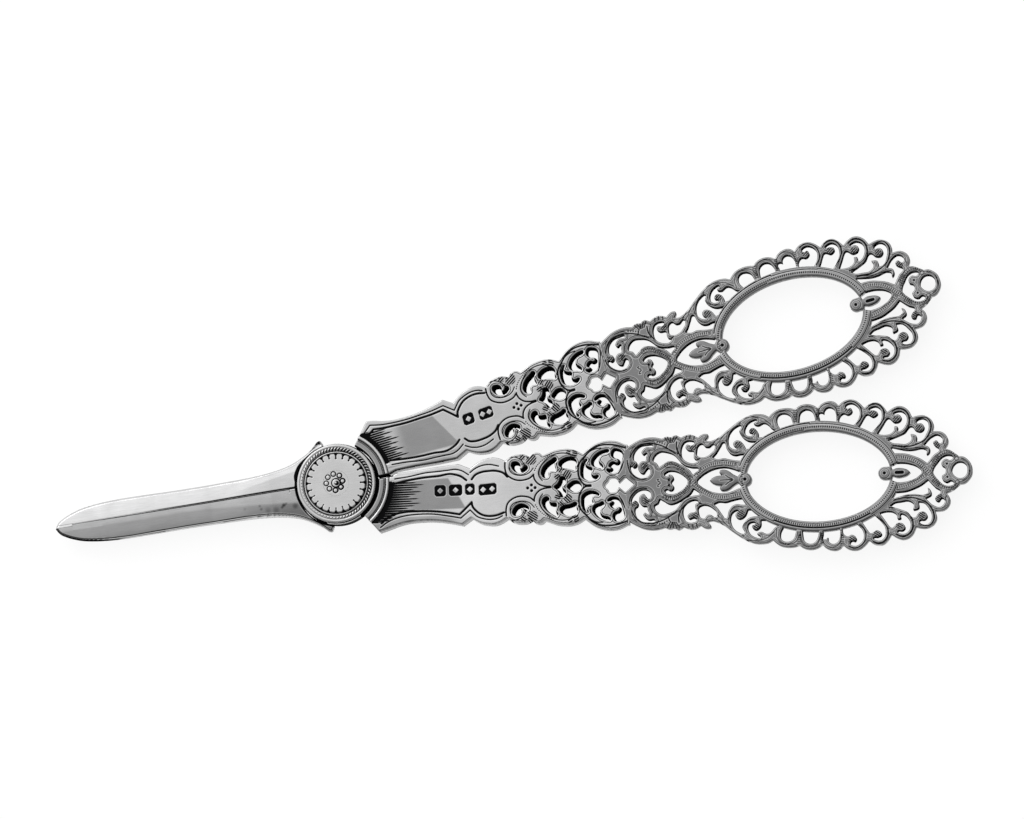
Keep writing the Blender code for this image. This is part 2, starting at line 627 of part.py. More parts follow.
def blade(name, half):
    """A blade with its shoulder and horn, cut back where the two cutting edges lie."""
    edge = scaled(BLADE_EDGE_SHARES, BLADE_LENGTH, BLADE_HALF_WIDTH)
    horn = scaled(HORN_SHARES, PLATE_RADIUS, PLATE_RADIUS)
    recess_radius = PLATE_RADIUS + SHOULDER_CLEARANCE
    horn_angle = math.atan2(horn[-1][1], horn[-1][0])
    parting = BLADE_PARTING / 2
    heel_angle = math.pi - math.asin(parting / recess_radius)
    recess = arc(recess_radius, horn_angle, heel_angle, ARC_STEPS)
    inner = parting_run(recess[-1][0], edge[0][0], parting)
    loop = edge + horn + recess + inner[1:]
    loop = [(x, -half.side * y) for x, y in loop]
    low = MID - SHOULDER_HALF_HEIGHT
    high = MID + SHOULDER_HALF_HEIGHT
    piece = to_mesh(plate_curve(name, [loop], low, high))
    squeeze_heights(piece, blade_half_height)
    set_material(piece, "polished_silver")
    seat = edge_layer_cutter(name + "_seat_cutter", half, half.side, EDGE_WIDTH + SOLDER_GAP)
    lap_reach = EDGE_OVERLAP + EDGE_RUNNING_GAP
    lap = edge_layer_cutter(name + "_lap_cutter", half, -half.side, lap_reach)
    cut_away(piece, seat, "MANIFOLD")
    cut_away(piece, lap, "MANIFOLD")


def edge_span():
    """Where the cutting edges start and end along the blade."""
    near = -(PLATE_RADIUS + SHOULDER_CLEARANCE + EDGE_HEEL_MARGIN)
    far = -(BLADE_LENGTH - EDGE_TIP_MARGIN)
    return near, far


def edge_layer_cutter(name, half, layer, reach):
    """Takes a strip beside the parting line out of one layer of a blade, above or below."""
    near, far = edge_span()
    near += SOLDER_GAP
    far -= SOLDER_GAP
    side = -half.side
    loop = [(near, -side * reach), (near, side * reach), (far, side * reach), (far, -side * reach)]
    inside = MID - layer * BLADE_PARTING / 2
    outside = MID + layer * (SHOULDER_HALF_HEIGHT + CUT_OVERRUN)
    return to_mesh(plate_curve(name, [loop], min(inside, outside), max(inside, outside)))


def cutting_edge(name, half):
    """The steel strip let into a blade, lapping past the other blade's strip."""
    near, far = edge_span()
    side = -half.side
    lap = parting_run(near, far, -side * EDGE_OVERLAP)
    back = parting_run(near, far, side * EDGE_WIDTH)
    low = MID - SHOULDER_HALF_HEIGHT
    high = MID + SHOULDER_HALF_HEIGHT
    piece = to_mesh(plate_curve(name, [lap + back[::-1]], low, high))
    layer = half.side
    for vertex in piece.data.vertices:
        face = blade_half_height(vertex.co.x)
        outside = vertex.co.z * layer > 0.0
        vertex.co.z = layer * (face if outside else BLADE_PARTING / 2)
    set_material(piece, "edge_steel")


def shank_edge(half, root_shares, out):
    """One edge of a shank and its scroll panel, root to bow: out is 1 outside, -1 inside."""
    shares = list(root_shares)
    for lobe in LOBE_SHARES:
        shares.extend(lobe)
    points = scaled(shares, SHANK_WIDTH, SHANK_WIDTH)
    end = BOW_START - SOLDER_GAP
    points.append((end, PANEL_NECK_SHARE * PERCENT * SHANK_WIDTH))
    return half.handle_loop([half.shank_point((x, out * y)) for x, y in points])


def end_window(half):
    """The panel's end between its two edges, round the window that the bow closes."""
    end = BOW_START - SOLDER_GAP
    window = scaled(END_WINDOW_SHARES, SHANK_WIDTH, SHANK_WIDTH)
    window.append((end, END_WINDOW_MOUTH_SHARE * PERCENT * SHANK_WIDTH))
    return half.handle_loop(window[::-1] + mirrored(window)[::-1][1:])


def shank_root(half):
    """The shank's end against the collar, from its inner edge out to its corner."""
    start = math.asin(HANDLE_PARTING / 2 / ROOT_RADIUS)
    root = arc(ROOT_RADIUS, start, COLLAR_ANGLE, ARC_STEPS)
    reach = ROOT_RADIUS + SHANK_CORNER_REACH
    root.append((reach * math.cos(COLLAR_ANGLE), reach * math.sin(COLLAR_ANGLE)))
    return [(x, half.side * y) for x, y in root]


def shank(name, half):
    """A shank with its pierced scroll panel, thinning towards the bow."""
    outer = shank_edge(half, SHANK_OUTER_SHARES, 1)
    inner = shank_edge(half, SHANK_INNER_SHARES, -1)
    outline = shank_root(half) + outer + end_window(half) + inner[::-1]
    low = MID - SHANK_HALF_HEIGHT
    high = MID + SHANK_HALF_HEIGHT
    piece = to_mesh(plate_curve(name, [outline] + panel_openings(half), low, high))
    squeeze_heights(piece, panel_half_height)
    set_material(piece, "polished_silver")


def panel_half_height(x):
    """Half the shank's thickness, falling to the bow's at the panel's end."""
    run = (x - PANEL_TAPER_START) / (BOW_START - PANEL_TAPER_START)
    run = min(max(run, 0.0), 1.0)
    return SHANK_HALF_HEIGHT + (BOW_HALF_HEIGHT - SHANK_HALF_HEIGHT) * run


def panel_openings(half):
    """The loops of the panel's openings, on both sides of the axis and on it."""
    loops = []
    for shares in PANEL_OPENING_SHARES.values():
        points = scaled(shares, SHANK_WIDTH, SHANK_WIDTH)
        loops.append(half.handle_loop(points))
        loops.append(half.handle_loop(mirrored(points)))
    for shares in PANEL_AXIS_SHARES.values():
        points = closed_on_axis(scaled(shares, SHANK_WIDTH, SHANK_WIDTH))
        loops.append(half.handle_loop(points))
    return loops


def bow_point(point):
    """A point of the bow's table, along the handle from the pivot."""
    return (BOW_START + point[0], point[1])


def bow(name, half):
    """The pierced bow, open where the finger ring stands in it."""
    edge = on_bow(BOW_EDGE_SHARES)
    start = (along_bow(BOW_START_SHARE), 0.0)
    loops = [[start] + edge + [(BOW_LENGTH, 0.0)] + mirrored(edge)]
    for shares in BOW_OPENING_SHARES.values():
        points = on_bow(shares)
        loops.append(points)
        loops.append(mirrored(points))
    for shares in BOW_AXIS_SHARES.values():
        loops.append(closed_on_axis(on_bow(shares)))
    loops = [half.handle_loop([bow_point(p) for p in loop]) for loop in loops]
    piece = plate_curve(name, loops, MID - BOW_HALF_HEIGHT, MID + BOW_HALF_HEIGHT)
    piece = to_mesh(piece)
    set_material(piece, "satin_silver")
    room = ellipse(
        RING_CENTRE,
        RING_HALF_LENGTH + SOLDER_GAP,
        RING_HALF_WIDTH + SOLDER_GAP,
        0.0,
        2 * math.pi,
        RING_STEPS,
    )[:-1]
    room = half.handle_loop([bow_point(p) for p in room])
    low = MID - BOW_HALF_HEIGHT - CUT_OVERRUN
    high = MID + BOW_HALF_HEIGHT + CUT_OVERRUN
    cut_away(piece, to_mesh(plate_curve(name + "_ring_cutter", [room], low, high)))


def ring_outer_loop():
    """The finger ring's outline, with the leaf at its left end and the drop at its right."""
    leaf = on_bow(RING_LEAF_SHARES)
    drop = on_bow(RING_DROP_SHARES)
    shoulder = math.asin(RING_SHOULDER_SHARE * PERCENT * BOW_HALF_WIDTH / RING_HALF_WIDTH)
    side = ellipse(
        RING_CENTRE,
        RING_HALF_LENGTH,
        RING_HALF_WIDTH,
        math.pi - shoulder,
        shoulder,
        RING_STEPS // 2,
    )
    return closed_on_axis(leaf + side + drop)


def boss_bulge(inset_share, radius_share, end):
    """The upper half of a boss's bulge into the finger hole, from the oval to the axis.

    The boss stands at the hole's left end for end -1 and at its right end for end 1.
    """
    centre = RING_CENTRE + end * (FINGER_HALF_LENGTH - inset_share * PERCENT * RING_BAND)
    radius = radius_share * PERCENT * RING_BAND
    points = []
    for i in range(BOSS_STEPS + 1):
        angle = math.pi / 2 * (1 - i / BOSS_STEPS)
        x = centre - end * radius * math.cos(angle)
        y = radius * math.sin(angle)
        reach = math.hypot((x - RING_CENTRE) / FINGER_HALF_LENGTH, y / FINGER_HALF_WIDTH)
        if reach < 1.0:
            points.append((x, y))
    return points


def ring_inner_loop():
    """The finger hole's outline, an oval that both bosses bulge into."""
    left = boss_bulge(*LEFT_BOSS_SHARES, -1)
    right = boss_bulge(*RIGHT_BOSS_SHARES, 1)
    oval = ellipse(RING_CENTRE, FINGER_HALF_LENGTH, FINGER_HALF_WIDTH, math.pi, 0.0, RING_STEPS)
    side = [p for p in oval if left[0][1] < p[1] and p[0] < RING_CENTRE]
    side += [p for p in oval if right[0][1] < p[1] and p[0] >= RING_CENTRE]
    return closed_on_axis(left[::-1] + side + right)


def finger_ring(name, half):
    """The oval finger ring with its bosses, leaf and drop."""
    loops = [ring_outer_loop(), ring_inner_loop()]
    loops = [half.handle_loop([bow_point(p) for p in loop]) for loop in loops]
    piece = plate_curve(name, loops, MID - RING_HALF_HEIGHT, MID + RING_HALF_HEIGHT)
    set_material(piece, "satin_silver")


def build_half(half, handle, face, blade_side):
    """All the pieces of one half, named after where they lie."""
    joint_plate(face + "_joint_plate", half)
    rope_ring(face + "_rope_ring", half)
    dial(face + "_dial", half)
    collar(handle + "_collar", half)
    shank(handle + "_shank", half)
    bow(handle + "_bow", half)
    finger_ring(handle + "_finger_ring", half)
    blade(blade_side + "_blade", half)
    cutting_edge(blade_side + "_cutting_edge", half)


def main():
    for obj in list(bpy.data.objects):
        bpy.data.objects.remove(obj)
    for key, name in (("collection", COLLECTION_NAME), ("cutters", CUTTER_COLLECTION_NAME)):
        collection = bpy.data.collections.new(name)
        bpy.context.scene.collection.children.link(collection)
        PARTS[key] = collection
    make_materials()
    build_half(HALF_A, "upper", "front", "lower")
    build_half(HALF_B, "lower", "rear", "upper")
    pivot_rivet()


if __name__ == "__main__":
    main()
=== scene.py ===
"""Grape shears: the finished look of two pierced silver handles, their joint and blades.

Every flat piece is a relief: a grid of points over its outline, with the outline's exact
edge cut into the grid, one height for the front face and one for the rear. Lengths in the
tables are millimetres or percent shares, in the frame of one half of the shears: X from
the pivot towards the handles, Y outward on the side of that half's handle.
"""

import json
import math

import bpy
import numpy as np
from bpy.props import FloatProperty, FloatVectorProperty, IntProperty, PointerProperty
from mathutils import Matrix, Vector

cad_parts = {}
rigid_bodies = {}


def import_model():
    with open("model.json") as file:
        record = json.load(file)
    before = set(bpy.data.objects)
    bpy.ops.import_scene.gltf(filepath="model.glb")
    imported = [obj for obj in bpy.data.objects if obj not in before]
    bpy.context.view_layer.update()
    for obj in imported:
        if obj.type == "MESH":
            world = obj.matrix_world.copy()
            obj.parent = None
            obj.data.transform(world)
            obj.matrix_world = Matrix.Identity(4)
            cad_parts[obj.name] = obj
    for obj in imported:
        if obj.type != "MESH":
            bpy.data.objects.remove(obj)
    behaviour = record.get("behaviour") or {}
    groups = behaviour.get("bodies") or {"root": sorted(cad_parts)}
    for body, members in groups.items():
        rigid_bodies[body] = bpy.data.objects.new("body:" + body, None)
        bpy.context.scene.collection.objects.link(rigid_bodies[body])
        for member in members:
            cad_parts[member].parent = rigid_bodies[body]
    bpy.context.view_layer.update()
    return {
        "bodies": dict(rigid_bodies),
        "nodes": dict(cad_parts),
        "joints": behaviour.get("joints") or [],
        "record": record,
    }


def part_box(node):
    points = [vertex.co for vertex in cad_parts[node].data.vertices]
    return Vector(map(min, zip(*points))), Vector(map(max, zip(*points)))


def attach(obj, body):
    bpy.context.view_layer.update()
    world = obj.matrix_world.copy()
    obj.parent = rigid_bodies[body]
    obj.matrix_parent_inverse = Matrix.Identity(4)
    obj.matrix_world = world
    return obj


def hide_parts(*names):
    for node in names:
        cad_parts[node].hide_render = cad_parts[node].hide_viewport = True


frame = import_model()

bl_info = {
    "name": "Grape shears",
    "version": (1, 0, 0),
    "blender": (4, 5, 0),
    "location": "View3D > Sidebar > Grape shears",
    "description": "Builds the finished surfaces of a pair of pierced and engraved grape shears",
    "category": "Add Mesh",
}

MM = 0.001
PERCENT = 0.01
FAR = 9.0
GOLDEN_RATIO = 0.618
PHOTO_TURN = math.radians(8.87)


def node_reach(node, axis):
    """Half of a solid's extent along an axis, in millimetres."""
    low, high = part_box(node)
    return (high[axis] - low[axis]) / 2 / MM


MID = sum(corner[2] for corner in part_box("pivot_rivet")) / 2 / MM
PLATE_RADIUS = node_reach("front_joint_plate", 0)
COLLAR_REACH = node_reach("upper_collar", 2)
SHANK_REACH = node_reach("upper_shank", 2)
BOW_REACH = node_reach("upper_bow", 2)
RING_REACH = node_reach("upper_finger_ring", 2)
BLADE_REACH = node_reach("upper_blade", 2)

# The lie of the two handles: side, angle, axis offset, lean of the root.
HANDLES = {"upper": (1, 8.031, 4.204, -0.45), "lower": (-1, 6.411, 2.502, 0.45)}
SHANK_WIDTH = 10.0
# The root leans in full up to the first of these, and less over the second.
LEAN_END, LEAN_FADE = 26.1, 7.6
# The bow starts this far along its axis. Its shares map to lengths at four places.
BOW_START = 56.3
BOW_SPAN_SHARES = (0.0, 31.8, 79.2, 100.0)
BOW_SPANS = (0.0, 21.3, 53.1, 67.0)
BOW_HALF_WIDTH = 14.7
# The ring: its middle beyond the bow's start, its hole's half sizes, its band's width,
# and how far the bow runs in under it.
RING_CENTRE = 37.2
FINGER_SIZE = (14.0, 8.85)
RING_BAND = 1.9
RING_OVERLAP = 0.35
# The collars: radii, the angle where one ends, and how far the shank's corner stands there.
COLLAR_RADII = (8.3, 10.3)
COLLAR_ANGLE = math.radians(57.0)
CORNER_REACHES = {"upper": 13.4, "lower": 12.6}
PARTING = 0.25
# Pierced plates lie this far inside their outlines, and join over this much at the bow.
INSET = 0.06
BOW_LAP = 0.5
# A seam with another piece is known by lying this close to an edge.
SEAM_SLACK = 0.05
BLADE_LENGTH = 56.0
BLADE_WIDTH = 4.1

BLADE_EDGE_SHARES = (
    (-100, -1), (-98.6, 28), (-96.6, 46), (-94.4, 60), (-91.5, 74), (-87, 86),
    (-82, 93), (-76, 96.5), (-68, 96), (-54, 93.5), (-40, 95), (-29, 98), (-22, 107),
)
HORN_SHARES = (
    (-128, 63), (-104, 71), (-77, 85), (-52, 102), (-38, 115), (-38, 115), (-30, 117),
    (-24, 109), (-24, 109),
)
SHANK_OUTER_SHARES = (
    (100, 61.5), (120, 55), (140, 51), (160, 50), (180, 50), (200, 52), (220, 55.5),
    (243, 61), (243, 61),
)
SHANK_INNER_SHARES = (
    (118, 45.5), (118, 45.5), (140, 47.5), (160, 49.5), (200, 54.5), (239, 58), (239, 58),
)
LOBE_SHARES = (
    (261, 48.5), (261, 48.5), (270, 55), (280, 60.5), (292, 64), (304, 65.5), (318, 62.5),
    (330, 56), (330, 56), (337, 61), (345, 65), (357, 67), (369, 66), (378, 61), (378, 61),
    (383, 66), (391, 69), (398, 67.5), (403, 63), (403, 63), (412, 66.5), (425, 71.5),
    (440, 74), (455, 74), (468, 70.5), (480, 63.5), (480, 63.5), (490, 72), (502, 80),
    (517, 85.5), (533, 87.5), (548, 85.5), (563, 79), (563, 79),
)
PANEL_OPENING_SHARES = (
    ((341.5, 46), (343.5, 40), (348, 34.5), (355, 31), (363, 31), (369, 34), (373, 38.5),
     (371.5, 43.5), (367, 45), (365.5, 41), (361, 37.5), (357.5, 38.5), (359, 43),
     (357, 49), (350, 52.5), (344, 51.5)),
    ((400, 26), (403.5, 20.5), (410.5, 19), (413, 22), (412.5, 28), (419, 31.5),
     (427, 32.5), (427, 38), (425, 46), (430, 54), (428, 57), (419, 53), (409, 46),
     (402, 37)),
    ((434, 43), (439, 38), (449, 36), (458, 33.5), (464, 31), (467, 34), (465, 39),
     (468, 45), (466, 52.5), (459, 56.5), (450, 57), (441, 53.5), (435.5, 49)),
    ((476, 27), (477.5, 18.5), (483, 13.5), (491, 10.5), (499, 11), (507, 14.5),
     (510, 18.5), (507.5, 20), (502.5, 18.5), (497.5, 20.5), (495.5, 26), (498, 33),
     (489, 38), (484.5, 43), (488, 52), (482, 50), (477.5, 41)),
    ((497, 47), (498.5, 40.5), (504, 36.5), (511, 34.5), (516, 32), (519, 35),
     (517, 40.5), (512.5, 45), (511, 51), (514, 57.5), (519, 60.5), (526, 62), (531, 68),
     (522, 68.5), (511, 64.5), (502, 57)),
    ((526.5, 31), (530, 25.5), (538, 23.5), (546, 26), (551, 32), (554.5, 42), (557, 52),
     (558, 62), (555, 66.5), (549, 69.5), (541, 70.5), (537, 66), (536, 58), (540, 53),
     (547, 50.5), (549.5, 45), (545.5, 42.5), (539, 45.5), (532, 41.5), (530.5, 37),
     (536, 33), (533.5, 30.5)),
)
PANEL_AXIS_SHARES = (
    ((424, 0), (430, 5.5), (434, 12), (437, 19.5), (443.5, 18.5), (446, 9.5), (438.5, 0)),
    ((449, 0), (454.5, 6.5), (461.5, 10.5), (470.5, 9.5), (476.5, 0)),
)
END_WINDOW_SHARES = (
    (563, 13), (563, 13), (560.5, 14), (560.5, 14), (554, 8), (548.5, 3), (548.5, 3),
    (545.5, 9.5), (541, 13.5), (536, 14.2), (530.5, 13.2), (528, 8), (523.5, 4), (522, 0),
)

BOW_SEAM_SHARES = ((0, 8.5), (0, 46.75))
BOW_EDGE_SHARES = (
    (0, 8.5), (0, 8.5), (0, 47), (1, 51), (1, 51), (2.5, 55), (5, 60), (7, 61.5), (9, 61),
    (10.7, 59), (10.7, 59), (12, 61.5), (13.4, 60.5), (13.4, 60.5), (14.7, 63), (16.2, 59.5),
    (16.2, 59.5), (17.5, 62), (18.7, 63), (20, 61.5), (21.1, 58.5), (21.1, 58.5), (22, 61.5),
    (23.2, 63), (24.2, 61.5), (24.2, 59), (23.3, 54), (23.3, 54), (24.5, 53), (26, 55),
    (27.3, 58), (29, 64), (31, 71), (33, 77.5), (35, 82.5), (37, 85.5), (39, 86), (40.5, 85),
    (41.8, 82), (41.8, 82), (42.7, 86), (44, 90), (46, 92.2), (48, 92), (49.4, 90.5),
    (49.4, 90.5), (50.5, 94), (52, 96.3), (53.5, 96.3), (55, 94), (56, 91), (56, 91),
    (57, 95.3), (58.5, 98.5), (60, 99), (61.3, 96.5), (62, 93), (62, 93), (63.3, 97.7),
    (65, 100), (66.7, 99), (68.2, 94.5), (69.5, 88), (69.5, 88), (70.5, 92), (72, 94.5),
    (73.5, 94), (75, 88.5), (76, 81.5), (76, 81.5), (77.5, 86), (79, 88.5), (80.7, 87.3),
    (82.2, 82), (83.2, 73), (83.2, 73), (84.5, 74.5), (86.3, 74.8), (87.8, 72), (89, 66),
    (89.3, 59), (88.9, 53), (88.9, 53), (90, 53), (91.2, 52.3), (92.5, 48.5), (93.3, 42),
    (93.2, 35.5), (92.3, 29.5), (92.3, 29.5), (94, 26.5), (95.5, 21.5), (96.3, 18.5),
    (96.3, 18.5), (97.5, 17.8), (98.9, 13), (99.8, 6.5), (100, 0),
)
BOW_START_SHARE = 2.1
BOW_OPENING_SHARES = {
    "first_lobe": (
        (2.2, 14), (3, 10.5), (4.5, 8), (6, 9), (6.9, 13), (7, 17), (6.5, 20), (5.8, 17),
        (5, 13), (4, 15), (3.5, 20), (3.6, 25), (4.6, 30), (5.8, 31), (5.9, 35), (6.2, 40),
        (5.1, 38), (4.6, 41), (5, 45), (6, 48.5), (8, 49.5), (6, 51), (4.5, 50), (3.3, 46),
        (2.4, 39), (2.5, 32), (3.2, 29.5), (3.1, 23), (2.2, 21.5), (1.5, 24), (1.5, 19)),
    "stem": (
        (8, 30), (9, 27), (9.6, 21.5), (9.6, 21.5), (10.5, 24), (12.5, 29), (14, 28),
        (15.5, 25), (17, 21), (18.5, 16), (19.4, 10), (19.4, 10), (20.2, 12.5), (21, 16),
        (19, 18.5), (17.5, 20.5), (16, 25), (15, 31), (14, 36), (12, 40), (10, 41),
        (9, 38.5), (8.2, 34)),
    "second_left": (
        (16.2, 39), (16.4, 34), (17, 30), (18.3, 26), (20, 25), (20.7, 27), (19.8, 30),
        (19.7, 34), (19.8, 39), (18, 41.5), (17.4, 45), (17.8, 49.5), (19.3, 48.3),
        (20, 51), (18.7, 54), (17.3, 52.5), (16.4, 46)),
    "second_right": (
        (20.7, 40), (20.7, 35.5), (22, 32), (23.5, 33), (24.8, 37), (25.8, 42), (25.7, 48),
        (24.2, 44.5), (23.2, 44.8), (22.1, 49.3), (21.4, 48)),
    "long_gusset": (
        (25.3, 31), (25.3, 31), (26.5, 28.8), (28.7, 29.5), (30, 28), (32, 26), (34.5, 25),
        (34.5, 25), (35.5, 33), (35.5, 33), (33.2, 33), (31.8, 32), (30.5, 34), (29.4, 40),
        (28.4, 50), (27.6, 45), (26.2, 35.5)),
    "small_curl": (
        (30.3, 45), (31.2, 41.5), (32.1, 41), (31.3, 45), (31.3, 49), (32.3, 52.5),
        (33.3, 51.5), (34.2, 48), (35, 40.5), (35, 40.5), (37.2, 41), (37.2, 41), (39, 49),
        (39, 49), (35.2, 51), (34.1, 55), (33.1, 64), (33.7, 71), (32, 69), (31, 65),
        (30.2, 59), (29.9, 52)),
    "tight_curl": (
        (34.8, 64), (35, 60), (35.8, 57.5), (37, 59), (35.9, 62), (36.3, 66.5), (37.2, 68),
        (38, 66), (38.6, 62), (38.7, 55), (38.7, 55), (41.6, 56), (41.6, 56), (44, 62),
        (44, 62), (42.3, 66), (41.8, 69), (40.5, 73), (38.3, 70), (37.3, 73), (38.3, 77.5),
        (37, 77), (35.9, 74), (35.1, 69)),
    "scallop_1": (
        (44.2, 74), (45.2, 64.5), (45.2, 64.5), (48.8, 67), (48.8, 67), (48.3, 76),
        (48, 80), (46.6, 84.3), (45, 83.5), (44.3, 80)),
    "scallop_2": (
        (50.6, 76), (50.5, 69), (50.5, 69), (55.1, 70), (55.1, 70), (54.8, 80), (54, 86.5),
        (52.6, 88.6), (51.1, 85)),
    "scallop_3": (
        (56.5, 77), (56.6, 70), (56.6, 70), (61.1, 68), (61.1, 68), (61.1, 81), (60.4, 88),
        (59, 90), (57.9, 85.5), (57.9, 80.5), (57.9, 80.5), (57, 83.5), (56.4, 83)),
    "curl_1": (
        (62.3, 77), (62, 67), (62, 67), (65.6, 63), (65.6, 63), (67.7, 75), (68, 81),
        (67.8, 86), (67, 91), (65.3, 94), (64.1, 90.5), (64.6, 87.8), (65.5, 88.7),
        (66, 85), (64.6, 79), (63.4, 81)),
    "curl_2": (
        (68.5, 68), (67.3, 60), (67.3, 60), (70.8, 53), (70.8, 53), (73.2, 64.5), (74, 70),
        (74.3, 77), (74, 84), (72.5, 88.5), (70.9, 84.5), (72, 84.3), (73.3, 80.5),
        (72, 74.5), (70, 78), (69.3, 74)),
    "curl_3": (
        (73, 52.5), (73, 52.5), (75, 51), (76.5, 52), (77.6, 56), (77.8, 62), (77.8, 62),
        (78.9, 61), (79, 55), (79.7, 56), (81, 62), (81.5, 70), (81, 77), (79.5, 80.8),
        (77.9, 77.5), (79.2, 77.3), (80.1, 73), (79.5, 67.5), (78, 66), (76, 72),
        (75.4, 69), (74.7, 64)),
    "curl_4": (
        (76, 43.5), (76, 43.5), (77.2, 40), (79, 38.8), (81.3, 38.3), (82.6, 43),
        (82.3, 51), (82.3, 51), (84.2, 48), (84.2, 40), (84.2, 40), (85.4, 41), (87, 50),
        (87.7, 59), (87.2, 67), (85.8, 70), (84.3, 65), (85.8, 64), (86.6, 59),
        (85.5, 52.5), (84, 54), (82.8, 60), (80.8, 52), (79, 48.5), (77.5, 46)),
    "gusset": (
        (76, 26), (76, 26), (79, 26), (81, 25), (83, 22), (85, 18), (87, 11.5), (87, 11.5),
        (88, 17), (89, 22), (90.5, 28), (89.3, 33), (88.8, 37), (89.8, 41), (91, 36.5),
        (91.6, 40), (91.3, 44), (90.1, 47.5), (88.7, 45.5), (86.3, 35.5), (86.3, 35.5),
        (87.9, 31), (87.7, 24), (86.7, 20.5), (86.7, 20.5), (86.8, 28), (86, 30),
        (83, 28.8), (81, 29), (79, 31), (77, 33.5), (77, 33.5)),
}
BOW_AXIS_SHARES = (
    ((13.1, 0), (13.8, 5), (13.4, 10), (12.4, 11), (11.8, 9), (11.2, 10.5), (11.8, 13.8),
     (13.3, 15), (14.7, 13.5), (16.2, 9.5), (17.3, 4.5), (17.7, 0)),
    ((20.6, 0), (21.8, 6.5), (23.3, 11), (25, 14.5), (27, 16.5), (29, 16.5), (31, 14),
     (33.5, 9), (33.5, 9), (36, 6), (36, 0)),
    ((75, 0), (75, 7), (75, 7), (76.6, 9.5), (78, 12), (80, 12.3), (82, 10.5), (84, 6.5),
     (85.2, 0)),
    ((88.6, 0), (89, 5), (90, 11), (91.5, 18), (93, 20), (94.4, 17), (93.8, 14),
     (92.4, 16), (91.1, 11.5), (91.1, 6.5), (92, 3.4), (92.2, 0)),
    ((94.1, 0), (94.3, 3.5), (94.8, 7), (95.8, 10), (97.2, 9.6), (98.1, 6), (98.4, 0)),
)
RING_LEAF_SHARES = (
    (24.2, 0), (24.9, 3.2), (26.2, 5.8), (28, 6.5), (28, 6.5), (27.1, 9.5), (27.3, 13),
    (28.4, 14), (29.7, 12), (31, 7.5), (32.3, 4), (32.3, 4), (33.4, 9.5), (33.4, 9.5),
)
RING_FOOT_SHARE = 14
RING_DROP_SHARES = (
    (76.5, 9.5), (76.5, 9.5), (76.9, 4), (76.9, 4), (78.2, 6), (79.8, 5.5), (81.2, 3.3),
    (82, 0),
)


# Outlines


def smooth_path(points, closed=True, steps=6):
    """A curve through given points, as an array.

    Between two points it is the cubic whose end slopes are the weighted mean of the
    straight directions on either side, the shorter side counting for more. A point given
    twice is a corner, where each side keeps its own direction.
    """
    points = np.asarray(points, float)
    ahead = np.roll(points, -1, axis=0) - points
    if not closed:
        ahead[-1] = 0.0
    length = np.hypot(ahead[:, 0], ahead[:, 1])[:, None]
    unit = ahead / np.maximum(length, 1e-9)
    back_length = np.roll(length, 1, axis=0)
    back_unit = np.roll(unit, 1, axis=0)
    slope = length * back_unit + back_length * unit
    size = np.hypot(slope[:, 0], slope[:, 1])[:, None]
    flat = size < 1e-9
    slope = slope / np.maximum(size, 1e-9)
    long_enough = length[:, 0] > 1e-6
    start, run = points[long_enough], length[long_enough]
    end = start + ahead[long_enough]
    leave = np.where(flat, unit, slope)[long_enough] * run
    arrive = np.where(np.roll(flat, -1, axis=0), unit, np.roll(slope, -1, axis=0))
    arrive = arrive[long_enough] * run
    t = (np.arange(steps) / steps)[None, :, None]
    curve = (
        start[:, None] * (2 * t**3 - 3 * t**2 + 1)
        + leave[:, None] * (t**3 - 2 * t**2 + t)
        + end[:, None] * (3 * t**2 - 2 * t**3)
        + arrive[:, None] * (t**3 - t**2)
    )
    curve = curve.reshape(-1, 2)
    return curve if closed else np.vstack([curve, end[-1:]])


def flipped(points, flip):
    """The points as they are for 1, or on the other side of the handle's axis for -1."""
    return [(x, flip * y) for x, y in points]


def mirror(points):
    """The points' reflection in the handle's axis, in the opposite order."""
    return flipped(reversed(points), -1)


def across_axis(points):
    """A whole loop from its half, whose two ends lie on the handle's axis."""
    return list(points) + mirror(points[1:-1])


def arc(radius, start, end, steps):
    """Points on a circle about the pivot, from one angle to another."""
    angle = np.linspace(start, end, steps + 1)
    return np.stack([radius * np.cos(angle), radius * np.sin(angle)], axis=1)


class Half:
    """The lie of one handle, and the way from its tables to the frame of its half."""

    def __init__(self, handle):
        self.handle = handle
        self.side, degrees, self.offset, self.root_shift = HANDLES[handle]
        self.angle = math.radians(degrees)

    def place(self, points):
        """From along and out of the handle's axis to X and Y of the half."""
        points = np.asarray(points, float)
        along, across = points[:, 0], points[:, 1] + self.offset
        c, s = math.cos(self.angle), math.sin(self.angle)
        return np.stack([along * c - across * s, along * s + across * c], axis=1)

    def unplace(self, x, y):
        """From X and Y of the half back to along and out of the handle's axis."""
        c, s = math.cos(self.angle), math.sin(self.angle)
        return x * c + y * s, y * c - x * s - self.offset

    def lean(self, along):
        """How far the shank's axis leans aside at its root, fading out at the panel."""
        return self.root_shift * (1 - np.clip((along - LEAN_END) / LEAN_FADE, 0, 1))

    def on_shank(self, shares):
        """Percent of the shank's width to the half, leaning until the panel starts."""
        points = np.asarray(shares, float) * PERCENT * SHANK_WIDTH
        points[:, 1] += self.lean(points[:, 0])
        return self.place(points)

    def on_bow(self, shares):
        """Percent of the bow's length and half width to the half."""
        shares = np.asarray(shares, float)
        along = BOW_START + np.interp(shares[:, 0], BOW_SPAN_SHARES, BOW_SPANS)
        return self.place(np.stack([along, shares[:, 1] * PERCENT * BOW_HALF_WIDTH], axis=1))


def line_through(place, shares, flip=1):
    """A smooth open line through a table's points, on one side of the axis or the other."""
    return smooth_path(place(flipped(shares, flip)), closed=False)


# The relief

RUNS_AT_ONCE = 12
NEAREST_CUT_SHARE = 0.03
LEAST_DRAFT = 0.1


